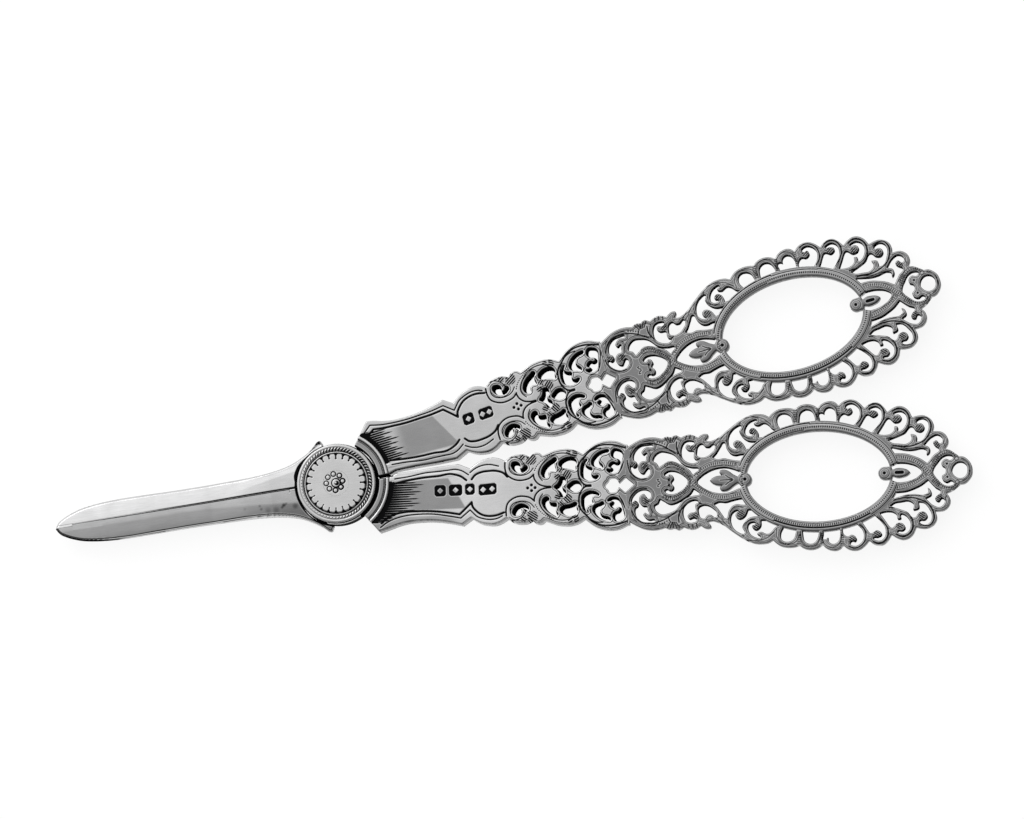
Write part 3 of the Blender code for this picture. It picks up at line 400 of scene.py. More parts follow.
class Sheet:
    """A grid of points over one flat piece, and the fields that are worked out on it."""

    def __init__(self, loops, step):
        """The sheet covers the loops with a cell to spare. Step is the cell's side."""
        self.loops = loops
        self.step = step
        every = np.vstack(loops)
        low, high = every.min(axis=0) - 1.5 * step, every.max(axis=0) + 2.5 * step
        self.u = np.arange(low[0], high[0], step)
        self.v = np.arange(low[1], high[1], step)
        self.x, self.y = np.meshgrid(self.u, self.v)
        outline = self.measure(loops[0], closed=True)[0]
        distance = outline
        for loop in loops[1:]:
            distance = np.minimum(distance, self.measure(loop, closed=True)[0])
        self.outer = (outline <= distance).astype(float)
        self.edge = np.where(self.inside(), distance, -distance)

    def measure(self, path, closed=False, reach=2.2):
        """The distance from each grid point to a path, and the length along it there.

        For each straight run of the path the nearest point is the projection onto it,
        held between its ends. Runs are taken a dozen at a time, over the cells that lie
        within reach of them.
        """
        ends = np.roll(path, -1, axis=0) if closed else path[1:]
        starts = path if closed else path[:-1]
        run = ends - starts
        length = np.hypot(run[:, 0], run[:, 1])
        begun = np.concatenate([[0.0], np.cumsum(length)[:-1]])
        distance = np.full(self.x.shape, FAR)
        along = np.zeros(self.x.shape)
        for first in range(0, len(starts), RUNS_AT_ONCE):
            part = slice(first, first + RUNS_AT_ONCE)
            a, d, size = starts[part], run[part], np.maximum(length[part], 1e-9)
            both = np.vstack([a, ends[part]])
            low, high = both.min(axis=0) - reach, both.max(axis=0) + reach
            rows = slice(*np.searchsorted(self.v, (low[1], high[1])))
            columns = slice(*np.searchsorted(self.u, (low[0], high[0])))
            x = self.x[rows, columns][..., None] - a[:, 0]
            y = self.y[rows, columns][..., None] - a[:, 1]
            if x.size == 0:
                continue
            share = np.clip((x * d[:, 0] + y * d[:, 1]) / size**2, 0, 1)
            gap = np.hypot(x - share * d[:, 0], y - share * d[:, 1])
            best = gap.argmin(axis=-1)[..., None]
            gap = np.take_along_axis(gap, best, -1)[..., 0]
            travelled = begun[part][best[..., 0]]
            travelled += np.take_along_axis(share, best, -1)[..., 0] * size[best[..., 0]]
            closer = gap < distance[rows, columns]
            distance[rows, columns] = np.where(closer, gap, distance[rows, columns])
            along[rows, columns] = np.where(closer, travelled, along[rows, columns])
        return distance, along

    def inside(self):
        """Where the grid lies within the loops: an odd number of crossings to the left."""
        starts = np.vstack(self.loops)
        ends = np.vstack([np.roll(loop, -1, axis=0) for loop in self.loops])
        row, run = np.nonzero((starts[:, 1] <= self.v[:, None]) != (ends[:, 1] <= self.v[:, None]))
        rise = ends[run, 1] - starts[run, 1]
        share = (self.v[row] - starts[run, 1]) / rise
        crossing = starts[run, 0] + share * (ends[run, 0] - starts[run, 0])
        column = np.searchsorted(self.u, crossing)
        crossings = np.zeros(self.x.shape, int)
        np.add.at(crossings, (row, np.minimum(column, self.x.shape[1] - 1)), 1)
        return np.cumsum(crossings, axis=1) % 2 == 1

    def mesh(self, name, top, bottom, fields, side, draft=0.0, sharp=None):
        """The closed mesh of the piece between its top and bottom heights.

        A cell that the edge crosses is cut along the straight line between the two
        places where the edge distance is zero, found by proportion on the cell's sides.
        The cut sides are joined by walls from the top down to the bottom. With a draft
        the bottom's points near an opening move into it by that much, along the slope of
        the edge distance, so that the opening narrows from the top to the bottom.
        """
        edge = self.edge
        within = edge > 0
        level = within[:, 1:] != within[:, :-1]
        upright = within[1:] != within[:-1]
        ids, count = [], 0
        for wanted in (within, level, upright):
            ids.append(np.full(wanted.shape, -1))
            ids[-1][wanted] = count + np.arange(wanted.sum())
            count += int(wanted.sum())
        point, on_level, on_upright = ids
        nearest = (NEAREST_CUT_SHARE, 1 - NEAREST_CUT_SHARE)
        level_share = (edge[:, :-1] / (edge[:, :-1] - edge[:, 1:] + ~level))[level]
        upright_share = (edge[:-1] / (edge[:-1] - edge[1:] + ~upright))[upright]
        level_share = np.clip(level_share, *nearest)
        upright_share = np.clip(upright_share, *nearest)

        def sample(field):
            """The field at the mesh's points, by proportion along a cell's cut sides."""
            left, right = field[:, :-1][level], field[:, 1:][level]
            down, up = field[:-1][upright], field[1:][upright]
            return np.concatenate([
                field[within],
                left + (right - left) * level_share,
                down + (up - down) * upright_share,
            ])

        corners = [within[:-1, :-1], within[:-1, 1:], within[1:, 1:], within[1:, :-1]]
        corner_ids = [point[:-1, :-1], point[:-1, 1:], point[1:, 1:], point[1:, :-1]]
        side_ids = [on_level[:-1], on_upright[:, 1:], on_level[1:], on_upright[:, :-1]]
        case = sum(corner.astype(int) << k for k, corner in enumerate(corners))
        polygons, walls = [], []
        for kind in range(1, 16):
            cells = case == kind
            if not cells.any():
                continue
            ring, cut = [], []
            for k in range(4):
                here, after = kind >> k & 1, kind >> (k + 1) % 4 & 1
                if here:
                    ring.append(corner_ids[k][cells])
                if here != after:
                    cut.append((len(ring), bool(here)))
                    ring.append(side_ids[k][cells])
            for spot, leaving in cut:
                if leaving:
                    walls.append(np.stack([ring[spot], ring[(spot + 1) % len(ring)]], axis=1))
            polygons.append(np.stack(ring, axis=1))
        walls = np.vstack(walls)
        x, y = sample(self.x), sample(self.y)
        rise, run = np.gradient(edge, self.step)
        fall = 1 - soft_step(edge, 0.0, 2.5 * max(draft, LEAST_DRAFT))
        push = draft * fall * (1 - self.outer)
        x_low, y_low = sample(self.x - push * run), sample(self.y - push * rise)
        places = np.concatenate([
            np.stack([x, side * y, MID + sample(top)], axis=1),
            np.stack([x_low, side * y_low, MID + sample(bottom)], axis=1),
        ]) * MM
        faces = polygons + [p[:, ::-1] + count for p in polygons]
        faces.append(np.hstack([walls[:, ::-1], walls + count]))
        if side < 0:
            faces = [face[:, ::-1] for face in faces]
        piece = mesh_object(name, places, faces, sharp)
        for key, field in fields.items():
            add_field(piece, key, np.tile(sample(field), 2))
        return piece


def mesh_object(name, places, faces, sharp=None):
    """A smooth-shaded object from an array of places and arrays of faces by corner count.

    Where a sharp angle is given, edges that turn by more than it keep a crisp shading.
    """
    mesh = bpy.data.meshes.new(name)
    corners = np.concatenate([face.ravel() for face in faces]).astype(np.int32)
    sizes = np.concatenate([np.full(len(face), face.shape[1]) for face in faces])
    mesh.vertices.add(len(places))
    mesh.vertices.foreach_set("co", np.ascontiguousarray(places, np.float32).ravel())
    mesh.loops.add(len(corners))
    mesh.loops.foreach_set("vertex_index", corners)
    mesh.polygons.add(len(sizes))
    starts = np.concatenate([[0], np.cumsum(sizes)[:-1]]).astype(np.int32)
    mesh.polygons.foreach_set("loop_start", starts)
    mesh.polygons.foreach_set("use_smooth", np.ones(len(sizes), bool))
    mesh.update(calc_edges=True)
    mesh.validate()
    if sharp:
        mesh.set_sharp_from_angle(angle=sharp)
    piece = bpy.data.objects.new(name, mesh)
    bpy.context.scene.collection.objects.link(piece)
    return piece


def add_field(piece, key, values):
    """Store one number for each vertex, for the materials to read."""
    field = piece.data.attributes.new(key, "FLOAT", "POINT")
    field.data.foreach_set("value", np.ascontiguousarray(values, np.float32))


def soft_step(value, low, high):
    """Zero below low, one above high, and an S-shaped rise between them."""
    t = np.clip((value - low) / (high - low), 0, 1)
    return t * t * (3 - 2 * t)


def rounded(edge, radius):
    """How far a quarter-round edge lies below the face: a circle's sagitta from its rim."""
    reach = np.clip(1 - edge / radius, 0, 1)
    return radius * (1 - np.sqrt(1 - reach**2))


# Engraving

# A mark is a field of distances over a sheet: below zero inside the cut.


def cut_line(sheet, path, width):
    """A plain graver's line: distance to the path less half the width."""
    return sheet.measure(path)[0] - width / 2


def cut_disc(sheet, spot, radius):
    """A round punch: the distance to its middle less its radius."""
    return np.hypot(sheet.x - spot[0], sheet.y - spot[1]) - radius


def cut_beads(sheet, path, pitch, size):
    """A row of punched beads: the distance to the nearest of the evenly spaced centres."""
    distance, along = sheet.measure(path)
    phase = np.mod(along, pitch) - pitch / 2
    return np.hypot(distance, phase) - size / 2


def cut_rungs(sheet, path, pitch, width, reach):
    """Short strokes across a path: stripes of the length along it, within reach of it."""
    distance, along = sheet.measure(path)
    phase = np.abs(np.mod(along, pitch) - pitch / 2) - width / 2
    return np.maximum(phase, distance - reach)


def engraved(sheet, marks):
    """All the marks of a sheet as one field: the distance to the nearest one's edge."""
    field = np.full(sheet.x.shape, 1.0)
    for mark in marks:
        field = np.minimum(field, mark)
    return field


def band(distance, offset, width):
    """A line that follows an edge: how far the distance to it is from the offset."""
    return np.abs(distance - offset) - width / 2


def sunk(cut, depth, inner, outer):
    """How far the face lies below itself at a cut, rising between two distances."""
    return depth * (1 - soft_step(cut, inner, outer))


# Where the graver went on a shank, in percent of its width along and out from its axis.
SHANK_THICK_LINES = (
    ((113.5, -24.5), (142.5, -30), (175, -34), (199.5, -35.5), (224, -38.5), (233.5, -36.5),
     (244.5, -32), (253.5, -25)),
    ((264, -26), (270.5, -33.5), (282.5, -38), (297, -39), (313, -37.5), (326, -32),
     (333.5, -24)),
    ((239, 41), (239, 41), (251, 30), (263, 18.5), (263, 18.5), (264, 26),
     (271, 36), (283.5, 45.5), (296.5, 49), (309.5, 49), (325, 45)),
)
SHANK_THIN_LINES = (
    ((114, -33.5), (142.5, -37), (175.5, -43), (199.5, -44.5), (217.5, -46), (234, -47),
     (243.5, -44.5), (258, -35.5)),
    ((261, -39.5), (271.5, -46.5), (284.5, -51), (299, -51.5), (317, -46.5)),
    ((241, 48.5), (241, 48.5), (259.5, 33.5), (259.5, 33.5), (264.5, 39),
     (273.5, 48), (285, 53), (299.5, 56), (314, 54.5), (322, 51)),
)
ROOT_LINES = {
    "upper": (
        ((82, 33), (98, 43.5), (98, 43.5), (118, 40.5), (137, 39), (163, 37.5), (188.5, 38),
         (214, 38.5), (239, 41)),
        ((75, 38.5), (93.5, 53.5), (93.5, 53.5), (115, 48), (138.5, 45), (165, 43.5),
         (190.5, 44), (215, 45), (241, 48.5)),
    ),
    "lower": (
        ((86, 52), (97, 43), (110, 36.5), (132.5, 32), (156, 31.5), (189, 33),
         (215, 36.5), (239, 41)),
        ((84, 60), (95, 52), (110, 45), (132, 39.5), (160, 37.5), (188.5, 38.5), (215, 43),
         (241, 48.5)),
    ),
}
PANEL_THICK_LINES = (
    ((329.5, 52), (329.5, 39), (333, 28), (341.5, 20.5), (353, 16), (366, 16), (377.5, 19.5),
     (385, 26)),
    ((384, 25), (387, 15), (394.5, 6.5), (406, 2), (417, 1)),
    ((471, 34), (471.5, 21), (476, 9.5), (483.5, 2), (495, 1)),
    ((470.5, 37.5), (476.5, 49), (484.5, 57.5), (497, 69.5), (514.5, 78), (532, 79),
     (548.5, 76.5), (563, 71.5)),
)
PANEL_THIN_LINES = (
    ((338, 48), (337.5, 38), (343, 30), (352.5, 26), (365.5, 25.5), (377, 30), (384.5, 38.5)),
    ((333.5, 60.5), (343.5, 62), (354.5, 59.5), (362.5, 53.5), (367, 46)),
    ((401.5, 12.5), (395.5, 21), (394, 27.5), (397.5, 39), (404.5, 48.5), (413, 57),
     (424.5, 63), (439.5, 65.5), (452.5, 64), (462, 60.5)),
    ((481, 51.5), (491, 64), (506, 71.5), (516, 72.5)),
    ((563, 55), (556, 38), (549, 22)),
)
PANEL_DOT_ROW = ((386, 32), (391.5, 42.5), (400, 51), (410, 58.5), (423, 67))
PANEL_DOTS = ((372.5, 0), (380, -5.5), (387, 0), (380, 5.5))
PANEL_HATCHES = (
    (380, 56, 9, 0.7), (363, 60, 5, 0.7), (441, 27, 9, 0.9), (450, 23, 7, 0.9),
    (463, 63, 6.5, -0.4), (453, 67, 4, -0.4), (430, 20, 5, 0.5),
)
# The cartouches: place, half length and number of lozenges.
CARTOUCHES = {
    "lower": ((202, -6.5, 11, 1), (232, -6.5, 13, 1), (260, -7, 9.5, 1), (294.5, -3.5, 17.5, 2)),
    "upper": ((281.5, 8, 11, 1), (317, 7, 14, 2)),
}

# The bow's lines, in percent of its length and half width.
STRAP_LINES = (
    ((11.9, 23.1), (13.8, 24.2), (15.7, 17.9), (17.6, 8.7), (19.4, -0.5), (21.3, -9.7),
     (23.2, -15.9), (25.4, -20.8), (28.3, -22.5), (31.2, -20.7), (33.1, -19.3)),
    ((11.2, -19.5), (13.4, -21.6), (15.4, -17.3), (17.1, -8.8), (17.9, -4.6)),
    ((20.5, 8.2), (22.2, 15.9), (24.1, 20.7), (26.8, 22.8), (29.3, 22.8), (31.6, 21)),
    ((76.8, 19.1), (80, 20), (82.9, 16.2), (85.6, 6.9), (87.5, -2.6), (89.6, -12.9),
     (91.8, -21.5), (94, -22.4), (95.5, -16.6)),
    ((76.7, -20.3), (79.7, -18.8), (82.6, -14.5), (85.2, -7.4), (86.2, -4.8)),
    ((88.6, 6), (90, 15.6), (92.3, 23.5), (94.4, 22.4), (95.5, 15.7)),
)
BOW_THICK_LINES = (
    ((0.5, 32), (0.7, 24), (1.2, 17), (2.4, 10.5), (4.3, 5.8), (5.9, 6.5)),
    ((1.3, 35), (2.4, 44), (4.1, 50.5), (7.3, 52.8), (9.9, 50.4), (12.5, 44.7), (14.5, 37.8)),
    ((15, 53.4), (14.9, 44.6), (15.9, 35.6), (17.4, 29.4), (19.7, 26.7), (21.6, 30)),
    ((67, 66.8), (68.4, 74), (68.7, 81.4), (68, 90.7), (66.6, 96), (65.2, 97.5), (63.9, 95)),
    ((72, 57.6), (74.1, 66.3), (75.1, 75.2), (75, 83.5), (74, 90), (72.2, 92.8), (70.7, 90)),
    ((75.6, 46.1), (78.5, 46.4), (81.1, 54.1), (82.3, 64.7), (82.1, 75.5), (80.8, 82.4),
     (79, 84.5), (77.5, 81.3)),
    ((77.3, 35.5), (80.9, 33.7), (84.2, 36.2), (86.8, 43.1), (88.3, 53.5), (88.4, 64.3),
     (87.2, 71), (85.8, 71.5), (84.3, 68.4)),
)
BOW_THIN_LINES = (
    ((29.3, 57.9), (29.6, 47.6), (30.1, 40.1), (31.7, 36.1), (33.7, 38)),
    ((33.6, 76.2), (33.1, 67.5), (33.9, 58.5), (35.4, 54.5), (37, 53.5)),
    ((25.4, 48.4), (28.4, 62.5), (31.1, 73.8), (34.4, 80.8), (37, 82), (40.2, 79), (42.4, 71.6)),
    ((24.3, 39), (27, 50.1), (29, 60.9)),
    ((89.7, 44.2), (91.5, 41.3), (92.2, 32.9)),
    ((76.9, 32), (80.9, 30.6), (84.5, 31.4), (87.1, 30)),
    ((96.9, 15), (98.7, 10), (99.2, 0.1), (98.7, -10), (96.9, -15)),
    ((43.1, 67.4), (43, 77.3), (44.2, 86), (46.2, 88.5), (48.4, 86), (49.7, 76)),
    ((49.9, 74), (49.9, 84), (51.2, 91.3), (52.8, 93), (54.6, 90), (55.7, 78)),
    ((56, 76), (56.2, 86), (57.4, 93), (59, 95), (60.8, 92), (61.7, 78)),
)
BOW_STROKES = (
    ((11.6, 60), (12.6, 51.6)), ((12.4, 60.4), (13, 52.8)), ((13.3, 59.8), (13.2, 52.7)),
    ((14.3, 61), (13.6, 52.7)), ((15.2, 60.5), (14.1, 52.8)), ((12, 47), (12.3, 51)),
    ((17.6, 56), (17.9, 61)), ((18.8, 57), (19, 62)), ((20, 56), (20.2, 60.5)),
    ((9.2, 2.5), (9.9, 0.8)), ((9.2, -2.5), (9.9, -0.8)), ((9, 4.2), (9.5, 4.8)),
)
BOW_DOT_ROW = ((9, 54.5), (10.1, 53.6), (11.2, 51.8), (12.3, 49.4))
CUSP_HATCHES = (
    ((49.4, 72), (49.5, 89)), ((55.8, 73), (56.1, 90)), ((61.7, 72), (61.9, 92)),
    ((88.3, 12), (90.3, 20)),
)
HATCHED_BALLS = (
    (5.6, 23), (2.3, 24), (19.6, 46), (32.9, 45.6), (37.2, 63), (64.7, 86.5), (71.9, 79),
    (78.5, 69.8), (85, 58), (90, 34.5),
)
PIERCED_BALLS = ((12.4, 3.5), (92.7, 8.8), (12.6, 11))


def shank_outline(half):
    """The shank's outline with smooth edges, and the ends that lie against other pieces."""
    start = math.asin(PARTING / COLLAR_RADII[1])
    root = arc(COLLAR_RADII[1], start, COLLAR_ANGLE, 24)
    corner = np.array([[math.cos(COLLAR_ANGLE), math.sin(COLLAR_ANGLE)]])
    corner = CORNER_REACHES[half.handle] * corner
    outer = half.on_shank(SHANK_OUTER_SHARES + LOBE_SHARES)
    outer = smooth_path(np.vstack([corner, corner, outer]), closed=False)
    inner = line_through(half.on_shank, SHANK_INNER_SHARES + LOBE_SHARES, -1)
    window = line_through(half.on_shank, [*END_WINDOW_SHARES, *mirror(END_WINDOW_SHARES)[1:]])
    seam, low, high = BOW_START + BOW_LAP, 1.1, 7.9
    near = half.place([(seam, high), (seam, low)])
    far = half.place([(seam, -low), (seam, -high)])
    outline = np.vstack([root, outer, near, window, far, inner[::-1]])
    return outline, [root, near, far]


def pierced(place, pairs, singles):
    """A plate's openings, smooth: those on both sides of the axis and those across it."""
    loops = []
    for shares in pairs:
        loops += [place(shares), place(mirror(shares))]
    loops += [place(across_axis(shares)) for shares in singles]
    return [smooth_path(loop) for loop in loops]


def bow_outline(half):
    """The bow's outline, and the two straight ends that lie against the panel."""
    start = (BOW_START_SHARE, 0)
    edge = [start, start, *BOW_EDGE_SHARES, *mirror(BOW_EDGE_SHARES)[1:]]
    outline = smooth_path(half.on_bow(edge))
    return outline, [half.on_bow(flipped(BOW_SEAM_SHARES, flip)) for flip in (1, -1)]


def outside_oval(half, sheet, grow):
    """The distance outward from an oval round the ring's centre, below zero inside it."""
    along, out = half.unplace(sheet.x, sheet.y)
    along = along - BOW_START - RING_CENTRE
    reach = np.hypot(along / (FINGER_SIZE[0] + grow), out / (FINGER_SIZE[1] + grow))
    gap = sheet.measure(oval(half, grow))[0]
    return np.where(reach > 1, gap, -gap)


def oval(half, grow, start=0.0, end=2 * math.pi, steps=160):
    """Part of an oval about the ring's centre, this much larger than the finger hole."""
    turn = np.linspace(start, end, steps + 1)
    x = BOW_START + RING_CENTRE + (FINGER_SIZE[0] + grow) * np.cos(turn)
    return half.place(np.stack([x, (FINGER_SIZE[1] + grow) * np.sin(turn)], axis=1))


# The pieces


def ride(piece, node, body, material):
    """Let a finished piece stand for its CAD node on its body, in its finish."""
    piece.data.materials.append(material)
    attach(piece, body)
    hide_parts(node)


# From where a mark's slope leaves the face, down to where its floor is reached.
MARK_LIP, MARK_FLOOR = 0.04, -0.08
# Free edges count as far once they are this far away.
EDGE_REACH = 2.0


def add_relief(sheet, name, half, reach, shape, marks, free, sizes, more=None, **options):
    """A flat piece whose faces carry the same relief in front and behind.

    The face's height is the piece's half thickness plus its shape, less the rounding at
    the free edges, less the depth of the engraving where a mark's distance is below zero.
    """
    cut = engraved(sheet, marks)
    height = reach + shape - rounded(free, sizes.rounding / MM)
    height -= sunk(cut, sizes.depth / MM, MARK_FLOOR, MARK_LIP)
    edge = np.minimum(free, EDGE_REACH)
    fields = {"cut": cut, "edge": edge, "outer": sheet.outer, **(more or {})}
    return sheet.mesh(name, height, -height, fields, half.side, **options)


def hatched(sheet, spots, pitch):
    """Patches of close parallel strokes: their share of black and the count across them.

    Each spot is a place, a radius, a slant and a share. The share falls to nothing at the
    disc's edge, and the count is the distance across the strokes over their pitch.
    """
    share = np.zeros(sheet.x.shape)
    count = np.zeros(sheet.x.shape)
    for (x, y), radius, slant, strength in spots:
        away = np.hypot(sheet.x - x, sheet.y - y)
        turned_by = (sheet.y - y) * math.cos(slant) - (sheet.x - x) * math.sin(slant)
        near = away < radius + 2 * sheet.step
        share = np.where(near, strength * (1 - soft_step(away, radius - 0.1, radius)), share)
        count = np.where(near, turned_by / pitch, count)
    return share, count


def free_edge(sheet, hidden):
    """The distance to the nearest edge, or far away where that edge meets another piece."""
    free = np.maximum(sheet.edge, 0.0)
    for path in hidden:
        free = np.where(sheet.measure(path)[0] < free + SEAM_SLACK, FAR, free)
    return free


# Rungs across a strap, a cusp or the ring's bead line: pitch, width and half length.
STRAP_RUNGS = (0.42, 0.14, 0.2)
CUSP_RUNGS = (0.36, 0.11, 0.35)
RING_RUNGS = (0.42, 0.17, 0.18)
# Contour lines: how far in they run. The bow's second ends before its scallops.
BOW_CONTOURS, SECOND_END, PANEL_CONTOUR = (0.34, 0.62), 13, 0.32
# Round places with hatching: radius, slant, share of black, pitch of the strokes.
BALL_RADIUS, BALL_SLANT, BALL_SHARE, BALL_PITCH = 0.75, 0.7, 0.68, 0.38
# The bow's dot row: pitch and size. Its small piercings: radius.
BOW_DOTS, PIERCING = (0.5, 0.24), 0.2


def add_bow(handle, sizes):
    """A pierced bow of scrolls, lobes and leaves, cut back under its finger ring."""
    half = Half(handle)
    outline, hidden = bow_outline(half)
    openings = pierced(half.on_bow, BOW_OPENING_SHARES.values(), BOW_AXIS_SHARES)
    sheet = Sheet([outline] + openings, sizes.grid / MM)
    sheet.edge = sheet.edge - INSET
    free = free_edge(sheet, hidden + [oval(half, RING_BAND - RING_OVERLAP)])
    sheet.edge = np.minimum(sheet.edge, outside_oval(half, sheet, RING_BAND - RING_OVERLAP))
    along = half.unplace(sheet.x, sheet.y)[0] - BOW_START
    line = sizes.line / MM
    marks, balls = [band(free, BOW_CONTOURS[0], 0.42 * line)], []
    marks.append(np.maximum(band(free, BOW_CONTOURS[1], 0.6 * line), along - SECOND_END))
    for shares in STRAP_LINES:
        path = line_through(half.on_bow, shares, half.side)
        marks.append(cut_rungs(sheet, path, *STRAP_RUNGS))
        marks.append(band(sheet.measure(path)[0], STRAP_RUNGS[0], 0.4 * line))
    for flip in (1, -1):
        for width, group in ((1.2 * line, BOW_THICK_LINES), (0.6 * line, BOW_THIN_LINES)):
            for shares in group:
                path = line_through(half.on_bow, shares, flip)
                marks.append(cut_line(sheet, path, width))
        for shares in BOW_STROKES:
            marks.append(cut_line(sheet, half.on_bow(flipped(shares, flip)), 0.9 * line))
        marks.append(cut_beads(sheet, half.on_bow(flipped(BOW_DOT_ROW, flip)), *BOW_DOTS))
        for shares in CUSP_HATCHES:
            path = half.on_bow(flipped(shares, flip))
            marks.append(cut_rungs(sheet, path, *CUSP_RUNGS))
        for spot in half.on_bow(flipped(HATCHED_BALLS, flip)):
            balls.append((spot, BALL_RADIUS, flip * BALL_SLANT, BALL_SHARE))
        for spot in half.on_bow(flipped(PIERCED_BALLS, flip)):
            marks.append(cut_disc(sheet, spot, PIERCING))
    share, count = hatched(sheet, balls, BALL_PITCH)
    return add_relief(
        sheet, handle + "_bow_scrollwork", half, BOW_REACH - 0.02, 0.0, marks, free, sizes,
        {"hatch": share, "across": count},
    )


# Lines round the ring: growth beyond the hole, start and end in degrees, width in lines.
RING_LINES = (
    (1.6, 95, 165, 1.4), (0.35, 100, 160, 0.8), (1.2, 235, 310, 1.5), (1.5, 10, 60, 0.8),
    (1.35, 60, 95, 0.8), (1.45, 190, 235, 0.8), (1.5, 310, 350, 0.8), (0.35, 200, 300, 0.6),
)
LEAF_STEM = ((27.2, 0), (31, 0))
LEAF_VEIN = ((30.8, 1), (29.6, 3.5), (28.8, 6.5))
DROP_SLOT = ((78, 0), (79.8, 0))


def ring_outline(half):
    """The ring's outline: two leaves' half, the band's side and half the drop, mirrored."""
    foot = RING_FOOT_SHARE * PERCENT * BOW_HALF_WIDTH
    shoulder = math.asin(foot / (FINGER_SIZE[1] + RING_BAND))
    band_side = oval(half, RING_BAND, math.pi - shoulder, shoulder, 90)
    leaf = line_through(half.on_bow, RING_LEAF_SHARES)
    drop = line_through(half.on_bow, RING_DROP_SHARES)
    upper = np.vstack([leaf, band_side, drop])
    along, out = half.unplace(upper[:, 0], upper[:, 1])
    lower = half.place(np.stack([along, -out], axis=1))[::-1]
    return np.vstack([upper, lower[1:-1]])


# The ring's bosses: at which end, and their inset and radius in percent of the band.
RING_BOSS_SHARES = ((-1, -8, 67), (1, 63, 63.5))
RING_DOME = 0.12


def add_ring(handle, sizes):
    """A finger ring: an oval band, domed and beaded, with two bosses, a leaf and a drop.

    The dome falls away from the band's middle in proportion to the distance from it.
    """
    half = Half(handle)
    sheet = Sheet([ring_outline(half)], sizes.grid / MM)
    along, out = half.unplace(sheet.x, sheet.y)
    hole_side = outside_oval(half, sheet, 0.0)
    marks = []
    for end, inset, radius in RING_BOSS_SHARES:
        inset, radius = inset * PERCENT * RING_BAND, radius * PERCENT * RING_BAND
        ahead = along - BOW_START - RING_CENTRE - end * (FINGER_SIZE[0] - inset)
        away = np.hypot(ahead, out)
        hole_side = np.maximum(hole_side, radius - np.hypot(np.minimum(ahead * end, 0), out))
        marks += [band(away, 0.8 * radius, 0.1), away - 0.25 * radius]
    sheet.edge = np.minimum(sheet.edge, hole_side)
    free = np.maximum(sheet.edge, 0.0)
    line, crest = sizes.line / MM, RING_BAND / 2
    bead_line, bead_gap = 0.75, 0.16
    beads = oval(half, bead_line, bead_gap, 2 * math.pi - bead_gap, 240)
    marks.append(cut_rungs(sheet, beads, *RING_RUNGS))
    for grow, start, end, width in RING_LINES:
        start, end = (half.side * math.radians(a) for a in (start, end))
        marks.append(cut_line(sheet, oval(half, grow, start, end), width * line))
    for flip in (1, -1):
        marks.append(cut_line(sheet, line_through(half.on_bow, LEAF_VEIN, flip), 0.9 * line))
    marks.append(cut_line(sheet, half.on_bow(LEAF_STEM), 0.9 * line))
    marks.append(cut_line(sheet, half.on_bow(DROP_SLOT), 3.5 * line))
    dome = RING_DOME * np.clip(1 - np.abs(free - crest) / crest, 0, 1)
    return add_relief(
        sheet, handle + "_finger_ring_band", half, RING_REACH - 0.14, dome, marks, free, sizes,
    )


# Along a shank: where it starts to get thinner, and where its panel begins.
THINNING_START = 40
PANEL_START = (32.5, 33.5)


def panel_reach(x):
    """Half the shank's thickness: full at the root, the bow's at the panel's end."""
    fall = np.clip((x - THINNING_START) / (BOW_START - THINNING_START), 0, 1)
    return SHANK_REACH + (BOW_REACH - SHANK_REACH) * fall


def cartouche(across, out, half_length, lozenges):
    """A plain frame with cut corners, sunk but for a row of lozenges left standing.

    On a cut corner, and on a lozenge's side, the two distances from the middle have the
    same sum. Slope makes a difference of such sums a distance.
    """
    slope, half_height, corner, lozenge = 0.7, 1.1, 0.75, 0.42
    frame = np.maximum(np.abs(across) - half_length, np.abs(out) - half_height)
    points = slope * (np.abs(across) + np.abs(out) - half_length - corner)
    pitch = 2 * half_length / lozenges
    cell = np.mod(across + half_length, pitch) - pitch / 2
    standing = slope * (np.abs(cell) + np.abs(out)) - lozenge
    return np.maximum(np.maximum(frame, points), -standing)


# The field at a shank's root, in mm: how far out from the axis it starts and ends, and by
# how much its top spreads at the collar. Its strokes: the radius where they are densest,
# their share of black there, and the radius where the shortest end.
FIELD_FLOOR = -2.9
ROOT_FIELDS = {"upper": (3.75, 0.5, 10.95, 1.08, 13.4), "lower": (3.05, 2.1, 11.1, 1.14, 15.2)}
ROOT_STROKE_PITCH = 0.45
# Where the spread fades along the axis, and the radii where the solid black, the black
# corner (painted shadow beside the parting) and all of the strokes end.
ROOT_SPREAD_ENDS = (8.8, 13.2)
ROOT_BLACK, ROOT_CORNER, ROOT_END = 10.5, 11.2, 18
# The share where the strokes merge, and how it falls off near the joint and beyond.
FULL_SHARE, NEAR_FADE, FAR_FADE = 1.4, 0.5, 0.1
# The most that a row's length and its solid tooth can gain on the shortest.
STROKE_GAIN, TOOTH_GAIN, STROKE_FADE = 2.6, 0.5, 1.2


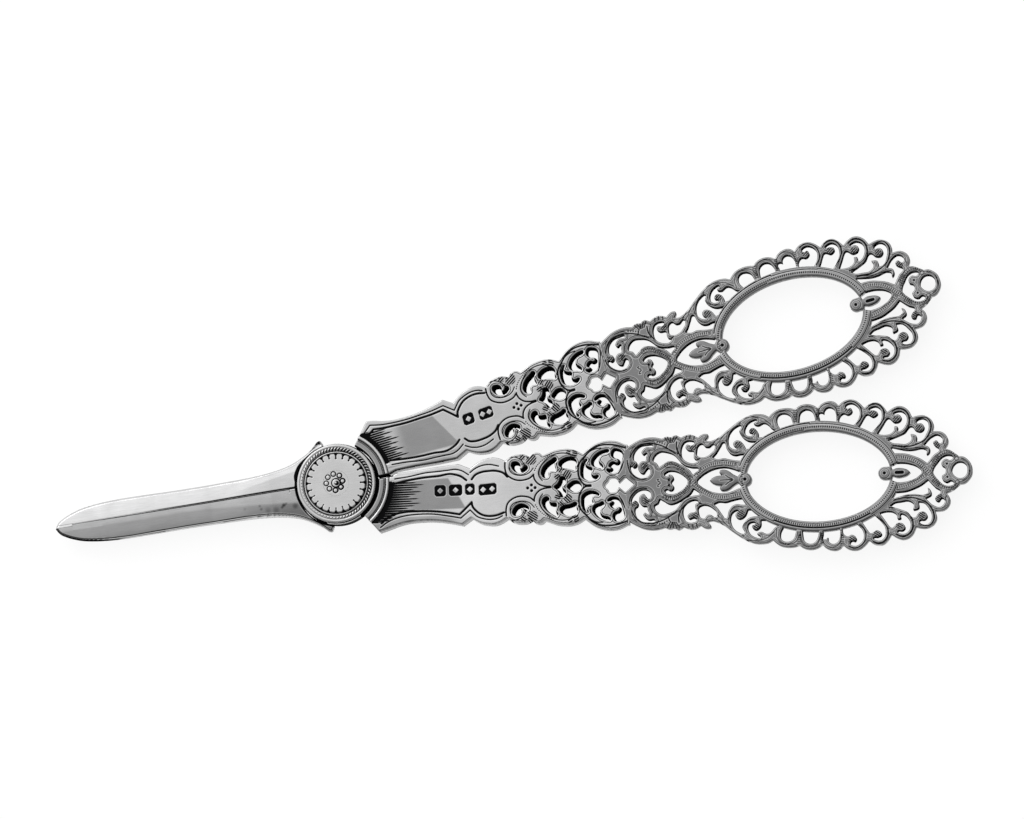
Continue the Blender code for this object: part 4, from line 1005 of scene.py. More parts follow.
def root_shade(handle, sheet, along, out):
    """The strokes and solid blacks at a shank's root, and the top of their field.

    The strokes' share of black falls in proportion to the distance from the joint. Each
    row of them ends in its own place, which the golden ratio makes uneven.
    """
    top, spread, deep, strong, last = ROOT_FIELDS[handle]
    radius = np.hypot(sheet.x, sheet.y)
    row = out / ROOT_STROKE_PITCH
    ragged = np.mod(np.floor(row) * GOLDEN_RATIO, 1)
    top = top + spread * (1 - soft_step(along, *ROOT_SPREAD_ENDS))
    share = np.clip(FULL_SHARE - (radius - deep) / NEAR_FADE, 0.0, FULL_SHARE)
    share = np.maximum(share, strong - FAR_FADE * (radius - deep))
    stop = last + STROKE_GAIN * ragged
    share = share * (1 - soft_step(radius, stop - STROKE_FADE, stop))
    share = share * (1 - soft_step(out, top - 0.1, top))
    share = share * soft_step(out, FIELD_FLOOR + 0.05, FIELD_FLOOR + 0.15)
    solid, below = radius - ROOT_BLACK, FIELD_FLOOR - out
    teeth = solid - TOOTH_GAIN * ragged - TOOTH_GAIN * soft_step(out, 1.5, 3.5)
    marks = [
        np.maximum(np.maximum(teeth, out - top), below),
        np.maximum(solid, below),
        # Painted shadow in the gap beside the parting.
        np.maximum(radius - ROOT_CORNER, sheet.y - PARTING - 0.11),
    ]
    return radius < ROOT_END, share, row, marks, top


# The painted shades of a shank, in place of its darker reflections: how strong each is, and
# between which places it comes or goes, in mm along the shank or out from its axis.
FIELD_SHADES, FIELD_DARKENS, FIELD_ENDS = (0.45, 1.0), (12.5, 15.5), (23.3, 23.7)
FIELD_SLANT, FIELD_FALL, FIELD_ORIGIN = 0.55, 0.03, 11
PANEL_SHADE, PANEL_DARKENS = 0.25, (29, 38)
BORDER_SHADE, BORDER_FADES = 0.75, (21, 26)
BORDER_STARTS = {"upper": (3.9, 4.6), "lower": (3.9, 4.4)}
UPPER_SHADE = 0.32
LOWER_ROOT_SHADE, LOWER_ROOT_FADES, LOWER_ROOT_FLOOR = 0.9, (9.5, 17.0), -2.6
BOW_SIDE_SHADE, BOW_SIDE_START, BOW_SIDE_SLANT, BOW_SIDE_MIDDLE = 1.08, 54.9, 0.424, 2.2


def shank_painted_shade(handle, side, along, out, panel, top):
    """Painted shade for a shank's darker reflections: the strongest that falls on each place."""
    floor = FIELD_FLOOR - FIELD_FALL * (along - FIELD_ORIGIN)
    field = soft_step(out, floor, floor + 0.3) * (1 - soft_step(out, top - 0.2, top))
    pale, dark = FIELD_SHADES
    field = field * (1 - panel) * (pale + (dark - pale) * soft_step(along, *FIELD_DARKENS))
    border = soft_step(-side * out, *BORDER_STARTS[handle])
    bow_side = along - BOW_SIDE_START - BOW_SIDE_SLANT * (np.abs(out) - BOW_SIDE_MIDDLE)
    if handle == "upper":
        root = np.full(out.shape, UPPER_SHADE)
    else:
        root = (1 - soft_step(along, *LOWER_ROOT_FADES)) * (out > LOWER_ROOT_FLOOR)
        root = LOWER_ROOT_SHADE * root
    return np.maximum.reduce([
        field * (1 - soft_step(along + FIELD_SLANT * side * out, *FIELD_ENDS)),
        PANEL_SHADE * soft_step(along, *PANEL_DARKENS),
        BORDER_SHADE * border * (1 - soft_step(along, *BORDER_FADES)),
        root,
        BOW_SIDE_SHADE * soft_step(bow_side, -0.1, 0.1),
    ])


# The panel's dot row: pitch, size at the first dot, where that is, and the loss per mm.
PANEL_DOT_PITCH, PANEL_DOT_SIZE, PANEL_DOT_START, PANEL_DOT_LOSS = 0.42, 0.26, 38.6, 0.012
PANEL_DOT = 0.3
# The panel's hatched leaves: radius per unit of their table, share of black, pitch.
LEAF_UNIT, LEAF_SHARE, LEAF_PITCH = 0.13, 0.85, 0.42
# The shank's crown, the ledge along its inner side, and the draft of its openings.
CROWN, LEDGE_OUT, LEDGE_WIDTH, LEDGE_FALL, LEDGE_FADES = 0.05, 3.4, 0.7, 0.035, (23, 25)
OPENING_DRAFT = 0.3


def add_shank(handle, sizes):
    """A shank with its scroll panel: a crowned plate, engraved along both edges."""
    half = Half(handle)
    outline, hidden = shank_outline(half)
    openings = pierced(half.on_shank, PANEL_OPENING_SHARES, PANEL_AXIS_SHARES)
    sheet = Sheet([outline] + openings, sizes.grid / MM)
    sheet.edge = sheet.edge - INSET
    free = free_edge(sheet, hidden)
    along, out = half.unplace(sheet.x, sheet.y)
    out = out - half.lean(along)
    line, unit = sizes.line / MM, PERCENT * SHANK_WIDTH
    marks, leaves = [], []
    for width, flips, group in (
        (2.5 * line, (1,), SHANK_THICK_LINES + ROOT_LINES[handle][:1]),
        (1.5 * line, (1,), SHANK_THIN_LINES + ROOT_LINES[handle][1:]),
        (1.8 * line, (1, -1), PANEL_THICK_LINES),
        (1.1 * line, (1, -1), PANEL_THIN_LINES),
    ):
        for shares in group:
            for flip in flips:
                path = line_through(half.on_shank, shares, flip)
                marks.append(cut_line(sheet, path, width))
    panel = soft_step(along, *PANEL_START)
    marks.append(band(free, PANEL_CONTOUR, 0.8 * line) + 2 * (1 - panel))
    for flip in (1, -1):
        row = half.on_shank(flipped(PANEL_DOT_ROW, flip))
        size = PANEL_DOT_SIZE - PANEL_DOT_LOSS * (along - PANEL_DOT_START)
        marks.append(cut_beads(sheet, row, PANEL_DOT_PITCH, size))
        for x, y, radius, slant in PANEL_HATCHES:
            spot = half.on_shank([(x, flip * y)])[0]
            leaves.append((spot, radius * LEAF_UNIT, flip * slant, LEAF_SHARE))
    for spot in half.on_shank(PANEL_DOTS):
        marks.append(cut_disc(sheet, spot, PANEL_DOT))
    for x, y, half_length, count in CARTOUCHES[handle]:
        marks.append(cartouche(along - x * unit, out - y * unit, half_length * unit, count))
    share, count = hatched(sheet, leaves, LEAF_PITCH)
    at_root, root_share, root_count, root_marks, top = root_shade(handle, sheet, along, out)
    share, count = np.where(at_root, root_share, share), np.where(at_root, root_count, count)
    # Painted shade that stands in for the shank's darker reflections.
    painted_shade_and_stains = shank_painted_shade(handle, half.side, along, out, panel, top)
    ledge = band(out, -LEDGE_OUT - LEDGE_FALL * (along - FIELD_ORIGIN), LEDGE_WIDTH)
    ledge = (1 - soft_step(ledge, -0.1, 0.1)) * (1 - soft_step(along, *LEDGE_FADES))
    crown = CROWN * (ledge - (2 * out / SHANK_WIDTH) ** 2 * (1 - panel))
    return add_relief(
        sheet, handle + "_shank_plate", half, panel_reach(sheet.x) - 0.07, crown,
        marks + root_marks, free, sizes, {"painted_shade_and_stains": painted_shade_and_stains, "hatch": share, "across": count},
        draft=OPENING_DRAFT,
    )


# A collar runs in under the joint and out under the shank by this much. By radius: the
# bead and the groove (middle, half width, height or depth), a black line (middle, width),
# the end of the painted shadow beside the joint, and where the painted shade ends. Its face
# lies lower than its bead's foot, and its end beside the parting is painted black shadow.
COLLAR_UNDER = (0.25, 0.1)
COLLAR_BEAD, COLLAR_GROOVE, COLLAR_LINE = (9.95, 0.4, 0.42), (9.38, 0.2, 0.25), (9.5, 0.18)
COLLAR_BLACK, COLLAR_BRIGHTENS = 8.36, (9.3, 9.7)
COLLAR_DROP, COLLAR_END_BLACK = 0.25, 0.4


def add_collar(handle, sizes):
    """A collar: a flat band round the joint with a groove and a bead at its outer edge.

    The bead's section is half an ellipse and the groove's is a V.
    """
    half = Half(handle)
    inner, outer = COLLAR_RADII[0] - COLLAR_UNDER[0], COLLAR_RADII[1] + COLLAR_UNDER[1]
    start = math.asin(PARTING / inner)
    sides = [arc(radius, start, COLLAR_ANGLE, 40) for radius in (inner, outer)]
    sheet = Sheet([np.vstack([sides[0], sides[1][::-1]])], sizes.grid / MM)
    radius = np.hypot(sheet.x, sheet.y)
    free = np.maximum(sheet.edge, 0)
    middle, reach, height = COLLAR_BEAD
    bead = height * np.sqrt(np.clip(1 - ((radius - middle) / reach) ** 2, 0, 1))
    middle, reach, depth = COLLAR_GROOVE
    groove = depth * np.clip(1 - np.abs(radius - middle) / reach, 0, 1)
    # The black beside the joint and at the end by the parting is painted shadow; the middle line
    # is engraved.
    marks = [band(radius, *COLLAR_LINE), radius - COLLAR_BLACK, sheet.y - COLLAR_END_BLACK]
    # The collar's inner face gets painted shade.
    return add_relief(
        sheet, handle + "_collar_bead", half, COLLAR_REACH - 0.19, bead - groove - COLLAR_DROP,
        marks, free, sizes, {"painted_shade_and_stains": 1 - soft_step(radius, *COLLAR_BRIGHTENS)},
    )


# A blade runs from its heel to its tip. Its steel strip lies in a lap of the silver.
HEEL, TIP = -13, -55.92
STRIP_START, STRIP_END, STRIP_GAP = -9.3, -52.6, 0.04
LAP_WALL = 0.37
# It loses as much thickness over this length beyond its heel as on its whole way.
BLADE_LOSS, BLADE_ROOT = 0.55, 12
# How its face falls outward: from where, its slope and its curve.
UPPER_TILT, LOWER_TILT = (0.3, 0.1, 0.018), (-0.3, 0.09, 0.012)
# Along its back: the bevel (depth, width), the bead (height, middle, half width) and where
# the bead fades. Its point: how far along it starts, and its fall.
BACK_BEVEL, BACK_BEAD, BACK_BEAD_FADES = (0.3, 0.45), (0.1, 0.3, 0.25), (14, 19)
POINT_START, POINT_FALL = 46, 0.03
# A strip's sides, its bevel's width and depth, how far it lies below the silver, and how
# far its rear lies from the blades' middle.
STRIP_SIDES, STRIP_BEVEL, STRIP_SINK, STRIP_REAR = (0.88, -0.25), (0.06, 0.05), 0.05, 0.05
# Spots of tarnish on the lower blade's heel: place along and out, radius, strength.
HEEL_STAINS = (
    (-10.8, 2.5, 0.55, 0.7), (-11.2, 2.9, 0.4, 0.5), (-10.3, 2.3, 0.35, 0.5),
    (-12.4, 3.2, 0.9, 0.3), (-14.0, 3.0, 0.8, 0.25), (-15.5, 1.95, 0.4, 0.45),
    (-15.3, 2.6, 0.4, 0.45), (-18.5, 2.1, 0.4, 0.25), (-8.6, 3.0, 0.8, 0.4),
)


def blade_reach(x):
    """Half a blade's thickness: full at the shoulder, falling in two slopes to the tip."""
    run = np.clip((HEEL - x) / (HEEL + BLADE_LENGTH), 0, 1)
    near = np.clip((HEEL - x) / BLADE_ROOT, 0, 1)
    return BLADE_REACH - BLADE_LOSS * (run + near)


def blade_tilt(upper, out):
    """How far a blade's face has fallen, this far out from the line between the blades."""
    start, slope, curve = UPPER_TILT if upper else LOWER_TILT
    bent = out if upper else np.maximum(out, 0)
    return -slope * (out - start) - curve * bent**2


def upper_blade_shade(x, out):
    """Painted shadow beside the upper blade's lap and joint, and a painted-shade wedge at its
    heel.

    The painted shadow at the joint is a crescent, widest halfway up the shoulder.
    """
    # The black beside the lap and the shoulder is painted shadow of the gap between the blades.
    lap = np.maximum(out - 0.7 + 0.19 * soft_step(-x, 12, 45), LAP_WALL + 0.04 - out)
    shoulder = np.maximum(band(out, 0.36, 0.18), -9.4 - x)
    crescent = 0.6 * soft_step(out, 0.4, 3.2) * (1 - soft_step(out, 4.4, 7.4))
    # A wedge of painted shade at the heel.
    bound = 4.2 + 0.19 * (x + 6.4)
    painted_shade_and_stains = 0.4 * (1 - soft_step(out - bound, -0.3, 0)) * (1 - soft_step(-x, 13, 22))
    return [lap, shoulder, np.hypot(x, out) - 8.0 - crescent], painted_shade_and_stains


def lower_blade_shade(x, out, back, line):
    """The line along the lower blade's back, with painted shadow, painted shade and heel tarnish.
    """
    # The line along the back is engraved; the black along the back edge near the tip is painted
    # shadow.
    marks = [band(back, 0.4, line), back - 0.3 * soft_step(-x, 40, 50) + 0.05]
    # Painted shade over the outer slope and the heel, standing in for the darker reflections.
    past = out - 2.2 - 0.09 * np.maximum(x + 8.1, -18)
    painted_shade_and_stains = 0.3 + 0.35 * soft_step(past, -0.1, 0.5) + 0.2 * soft_step(out, 1.8, 4.0)
    painted_shade_and_stains = painted_shade_and_stains + 0.3 * soft_step(past, 0.0, 0.6) * (1 - soft_step(-x, 9, 22))
    painted_shade_and_stains = painted_shade_and_stains * soft_step(back, 0.3, 0.45)
    for stain_x, stain_out, size, strength in HEEL_STAINS:
        away = np.hypot(x - stain_x, out - stain_out)
        painted_shade_and_stains = painted_shade_and_stains + strength * (1 - soft_step(away, 0.2 * size, size))
    return marks, painted_shade_and_stains


def add_blade(side_name, handle, sizes):
    """A blade with its shoulder and horn, sloping from the parting, with a bevelled back."""
    half = Half(handle)
    edge = np.array(BLADE_EDGE_SHARES) * PERCENT * (BLADE_LENGTH, BLADE_WIDTH)
    horn = np.array(HORN_SHARES) * PERCENT * PLATE_RADIUS
    outer = smooth_path(np.vstack([edge, horn[1:]]), closed=False)
    recess = arc(PLATE_RADIUS + 0.3, math.atan2(*horn[-1][::-1]), math.pi - 0.003, 40)
    parting = 0.02
    lap = [
        (STRIP_START, parting), (STRIP_START, LAP_WALL), (STRIP_END, LAP_WALL),
        (STRIP_END, parting), (TIP, parting),
    ]
    sheet = Sheet([np.vstack([outer, recess, lap]) * (1, -1)], sizes.grid / MM)
    free = free_edge(sheet, [np.array([recess[-1]] + lap) * (1, -1)])
    x, out = sheet.x, -sheet.y
    back = sheet.measure(outer * (1, -1))[0]
    upper = half.side < 0
    if upper:
        marks, painted_shade_and_stains = upper_blade_shade(x, out)
        bevel = -BACK_BEVEL[0] * (1 - soft_step(back, 0.0, BACK_BEVEL[1]))
    else:
        marks, painted_shade_and_stains = lower_blade_shade(x, out, back, sizes.line / MM)
        bevel = 0.0
    marks.append(band(np.hypot(x, out), 8.1, 0.24))
    point = -POINT_FALL * np.maximum(-x - POINT_START, 0)
    height, middle, reach = BACK_BEAD
    bead = height * np.clip(1 - np.abs(back - middle) / reach, 0, 1)
    bead = bead * (1 - soft_step(-x, *BACK_BEAD_FADES))
    return add_relief(
        sheet, side_name + "_blade_face", half, blade_reach(x) - 0.03,
        blade_tilt(upper, out) + point + bevel + bead, marks, free, sizes, {"painted_shade_and_stains": painted_shade_and_stains},
        sharp=math.radians(50),
    )


def add_strip(side_name, handle):
    """The steel strip of a blade: a long plate from the blades' middle up to one face.

    Its face follows the blade's own, a hair lower, over a grid along and across.
    """
    layer = Half(handle).side
    upper = layer < 0
    inside, outside = STRIP_SIDES
    along = np.linspace(STRIP_START - STRIP_GAP, STRIP_END + STRIP_GAP, 240)
    x, out = np.meshgrid(along, [outside, outside + STRIP_BEVEL[0], 0.0, 0.4, inside])
    bevel = np.where(out == outside, STRIP_BEVEL[1], 0.0)
    top = MID + layer * (blade_reach(x) - STRIP_SINK + blade_tilt(upper, out) - bevel)
    floor = np.full(x.shape, MID + layer * STRIP_REAR)
    places = [np.stack([x, -layer * out, z], axis=-1).reshape(-1, 3) for z in (top, floor)]
    places = np.concatenate(places) * MM
    ids = np.arange(x.size).reshape(x.shape)
    faces = grid_faces(ids)
    rim = np.concatenate([ids[0], ids[1:, -1], ids[-1, -2::-1], ids[-2:0:-1, 0]])
    after = np.roll(rim, -1)
    walls = np.stack([after, rim, rim + x.size, after + x.size], axis=1)
    faces = np.vstack([faces, faces[:, ::-1] + x.size, walls])
    if inside_out(places, faces):
        faces = faces[:, ::-1]
    piece = mesh_object(side_name + "_edge_strip", places, [faces], 0.5)
    # The tone value is painted shade, to match the strip's blade.
    fields = {"cut": 1.0, "edge": 1.0, "outer": 1.0, "painted_shade_and_stains": 0.1 if upper else 0.18}
    for key, value in fields.items():
        add_field(piece, key, np.full(len(places), value))
    return piece


def grid_faces(ids):
    """The four-cornered faces between the rows and columns of a grid of point numbers."""
    return np.stack(
        [ids[:-1, :-1], ids[:-1, 1:], ids[1:, 1:], ids[1:, :-1]], axis=-1
    ).reshape(-1, 4)


def inside_out(places, faces):
    """Whether a closed piece's faces point inwards, which makes its volume negative.

    The volume is a sixth of the sum of each triangle's triple product, and four-cornered
    faces are two triangles each.
    """
    a, b, c, d = (places[faces[:, k]] for k in range(4))
    return np.einsum("ij,ij->", a, np.cross(b, c) + np.cross(c, d)) < 0


def turned(name, profile, steps, side, cut, depth=0.0, inner=-0.06, shape=None):
    """A piece turned about the pivot from a closed profile, with relief on its face.

    Each profile point is a radius, a height and a share of the relief. At radius r and
    angle a the relief is shape(r, a) less the depth of the cuts. The heights count up
    from the middle for side 1 and down from it for side -1. A profile that starts and
    ends on the axis has a single point there.
    """
    profile = np.asarray(profile, float)
    angle = np.linspace(0, 2 * math.pi, steps + 1)[:-1]
    radius, turn = np.meshgrid(profile[:, 0], angle)
    marks = cut(radius, turn)
    relief = (shape(radius, turn) if shape else 0.0) - sunk(marks, depth, inner, 0.05)
    height = profile[:, 1] + profile[:, 2] * relief
    places = np.stack(
        [radius * np.cos(turn), radius * np.sin(turn), MID + side * height], axis=-1
    )
    ids = np.arange(radius.size).reshape(radius.shape)
    if profile[0, 0] < 1e-6:
        ids[:, 0] = ids[0, 0]
        ids[:, -1] = ids[0, -1]
    else:
        ids = np.concatenate([ids, ids[:, :1]], axis=1)
    faces = grid_faces(np.concatenate([ids, ids[:1]], axis=0))
    at_start, at_end = faces[:, 0] == faces[:, 3], faces[:, 1] == faces[:, 2]
    groups = [faces[~(at_start | at_end)], faces[at_start][:, :3], faces[at_end][:, [0, 1, 3]]]
    used, order = np.unique(np.concatenate([g.ravel() for g in groups]), return_inverse=True)
    points = places.reshape(-1, 3)[used] * MM
    ends = np.cumsum([group.size for group in groups])[:-1]
    groups = [o.reshape(g.shape) for o, g in zip(np.split(order.ravel(), ends), groups)]
    if inside_out(points, groups[0]):
        groups = [group[:, ::-1] for group in groups]
    piece = mesh_object(name, points, [group for group in groups if len(group)])
    add_field(piece, "cut", marks.ravel()[used])
    add_field(piece, "edge", np.ones(len(used)))
    return piece


def between_rays(radius, angle, count):
    """The distance across from the nearest of a count of evenly set rays."""
    step = 2 * math.pi / count
    return radius * (np.mod(angle, step) - step / 2)


def add_plate(face, side):
    """A joint plate: a disc bored for the rivet, with a bright rim over a low ledge.

    The rim's section is a flattened arc. The ledge is painted black as shadow where it lies
    beside the collars and the blades' shoulders, and bare in the two gaps between them.
    """
    turn = np.linspace(0.0, math.pi, 17)[1:-1]
    height = np.maximum(2.05 + 0.55 * np.sqrt(np.sin(turn)), np.where(turn > 1.6, 2.5, 0.0))
    rim = [(7.33 + 0.37 * math.cos(a), h, 0) for a, h in zip(turn, height)]
    ledge = [(7.9, 0.1, 0), (7.9, 1.3, 0), (7.72, 1.35, 0)]
    profile = [(1.85, 2.0, 0), (1.85, 0.1, 0)] + ledge + rim + [(6.9, 2.0, 0)]
    gap_middle, gap_reach, rim_radius = 0.06, 0.42, 7.7

    def cut(radius, angle):
        off = np.mod(angle + math.pi / 2, math.pi) - gap_middle
        in_gap = np.minimum(np.abs(off), np.abs(off - math.pi)) < gap_reach
        # Painted shadow: black on the ledge beyond the rim, bare in the gaps.
        return np.where(in_gap, 0.2, rim_radius - radius)

    return turned(face + "_plate_rim", profile, 160, side, cut)


def add_milled_ring(face, side, beads):
    """A milled ring: a low round band with a line of slanted pits, and a bead inside it.

    Each pit is a stripe about its own ray. The pits are widest on one side of the ring,
    where a second row of punched dots lies between them.
    """
    middle, groove, second_row = 6.75, 6.3, 7.0
    turn = np.linspace(0, math.pi, 25)
    crest = [(middle + 0.42 * math.cos(a), 2.22 + 0.5 * math.sin(a), math.sin(a)) for a in turn]
    bead = [(6.07 + 0.2 * math.cos(a), 2.3 + 0.3 * math.sin(a), 0) for a in turn[::3]]
    profile = [(5.87, 2.12, 0), (7.17, 2.12, 0)] + crest + bead

    def cut(radius, angle):
        across = between_rays(radius, angle, beads)
        slanted = across + 0.7 * (radius - middle)
        wide = 0.125 + 0.08 * np.cos(angle - 0.5)
        pit = np.maximum(np.abs(slanted) - wide, np.abs(radius - middle) - 2.2 * wide)
        between = np.abs(across) - math.pi / beads * radius
        dot = np.hypot(between, radius - second_row) - 0.1
        dot = np.where(np.cos(angle + 0.4) > 0.4, dot, 1.0)
        return np.minimum(np.minimum(pit, dot), band(radius, groove, 0.1))

    return turned(
        face + "_milled_ring", profile, beads * 10, side, cut, depth=0.1, inner=-0.08
    )


def add_dial(face, side, pins):
    """The dial: a flat ring with a bevelled rim and black pins pointing inward.

    A pin is a stripe about its own ray that widens in proportion to the radius near the
    rim and ends inward in a small ball. The golden ratio sets the pins' uneven lengths.
    """
    inner, outer, rim, groove, pin_end = 2.51, 5.8, 5.3, 5.68, 4.8
    profile = [(inner, 2.15, 0), (outer, 2.15, 0), (outer, 2.75, 0), (5.74, 2.88, 0)]
    profile += [(r, 2.94, 1) for r in [*np.linspace(5.6, inner + 0.02, 44), inner]]

    def cut(radius, angle):
        across = between_rays(radius, angle, pins)
        number = np.floor(angle / (2 * math.pi / pins))
        end = pin_end + 0.25 * np.mod(number * GOLDEN_RATIO, 1)
        wide = 0.1 + 0.03 * np.cos(angle - 0.9)
        shaft = np.abs(across) - wide - 0.6 * np.clip(radius - rim, 0, 2)
        shaft = np.maximum(shaft, end - radius)
        ball = np.hypot(across, radius - end) - wide - 0.05
        return np.minimum(np.minimum(shaft, ball), band(radius, groove, 0.12))

    return turned(
        face + "_dial_face", profile, pins * 20, side, cut, depth=0.08,
        shape=lambda radius, angle: -0.004 * radius,
    )


def add_rivet(dots):
    """The rivet: a shaft with a head at each end, each with punched petals round a boss.

    The petals' circle is a little off the boss's middle. The boss has a black crescent of
    painted shadow, round a bare dot left as a painted highlight, and the black outlines are
    widest towards one side, as painted shade. A petal and the boss are domes that fall with
    the square of the distance.
    """
    head, shaft, petal_circle = 2.5, 1.7, 1.6
    top = [(r, 2.92, 1) for r in [*np.linspace(0.0, head - 0.02, 40), head]]
    under = [(head, 2.16, 0), (shaft, 2.16, 0)]
    profile = top + under + [(r, -h, -s) for r, h, s in reversed(top + under)]

    def petal(radius, angle):
        """The distance from the middle of the nearest petal on their circle."""
        x, y = radius * np.cos(angle) + 0.26, radius * np.sin(angle) - 0.2
        turn = np.arctan2(y, x) * dots / (2 * math.pi)
        across = (np.mod(turn + 0.5, 1) - 0.5) * 2 * math.pi / dots
        away = np.hypot(x, y)
        return np.hypot(away * np.sin(across), away * np.cos(across) - petal_circle)

    def cut(radius, angle):
        # Outlines widest towards one side: painted shade.
        wide = 0.24 + 0.06 * np.cos(angle + 0.6)
        ring, centre = band(petal(radius, angle), 0.46, wide), band(radius, 0.84, wide)
        x, y = radius * np.cos(angle), radius * np.sin(angle)
        # The boss's black crescent is painted shadow; the bare dot in it is a painted highlight.
        pit = np.maximum(np.hypot(x - 0.15, y + 0.05) - 0.45, 0.2 - np.hypot(x + 0.05, y - 0.1))
        return np.minimum(np.minimum(ring, centre), pit)

    def shape(radius, angle):
        boss = 0.07 * np.clip(1 - (radius / 0.8) ** 2, 0, 1)
        return boss + 0.05 * np.clip(1 - (petal(radius, angle) / 0.4) ** 2, 0, 1)

    return turned("rivet_rosette", profile, dots * 26, 1, cut, depth=0.07, shape=shape)


# Finishes


class Nodes:
    """Shorthand for adding nodes to a tree and linking them."""

    def __init__(self, tree):
        self.tree = tree
        tree.nodes.clear()

    def add(self, kind, **values):
        """A new node of a kind, with these values set."""
        node = self.tree.nodes.new(kind)
        for key, value in values.items():
            setattr(node, key, value)
        return node

    def link(self, source, target):
        """Lead one socket into another."""
        self.tree.links.new(source, target)

    def attribute(self, name):
        """A field that is stored on the piece."""
        return self.add("ShaderNodeAttribute", attribute_name=name).outputs["Fac"]

    def noise(self, place, scale, detail):
        """Soft noise between zero and one."""
        node = self.add("ShaderNodeTexNoise")
        self.link(place, node.inputs["Vector"])
        node.inputs["Scale"].default_value = scale
        node.inputs["Detail"].default_value = detail
        return node.outputs["Fac"]

    def maths(self, operation, first, second=0.0):
        """The result of two sockets or numbers."""
        node = self.add("ShaderNodeMath", operation=operation)
        for socket, value in zip(node.inputs, (first, second)):
            if isinstance(value, bpy.types.NodeSocket):
                self.link(value, socket)
            else:
                socket.default_value = value
        return node.outputs[0]

    def ramp(self, value, low, high, start=0.0, end=1.0):
        """An S-shaped way from start, at or below low, to end, at or above high."""
        node = self.add("ShaderNodeMapRange", interpolation_type="SMOOTHSTEP")
        self.link(value, node.inputs["Value"])
        limits = {"From Min": low, "From Max": high, "To Min": start, "To Max": end}
        for key, number in limits.items():
            node.inputs[key].default_value = number
        return node.outputs[0]

    def mix(self, factor, first, second, blend="MIX"):
        """The second colour over the first."""
        node = self.add("ShaderNodeMix", data_type="RGBA", blend_type=blend)
        sockets = [s for s in node.inputs if s.enabled]
        for socket, value in zip(sockets, (factor, first, second)):
            if isinstance(value, bpy.types.NodeSocket):
                self.link(value, socket)
            elif isinstance(value, float):
                socket.default_value = value
            else:
                socket.default_value = (*value, 1.0)
        return [s for s in node.outputs if s.enabled][0]


CLOUD_SCALE, GRAIN_SCALE, SCRATCH_SCALE = 260.0, 5200.0, (400.0, 9000.0, 400.0)
SCRATCH_TURN = 0.35


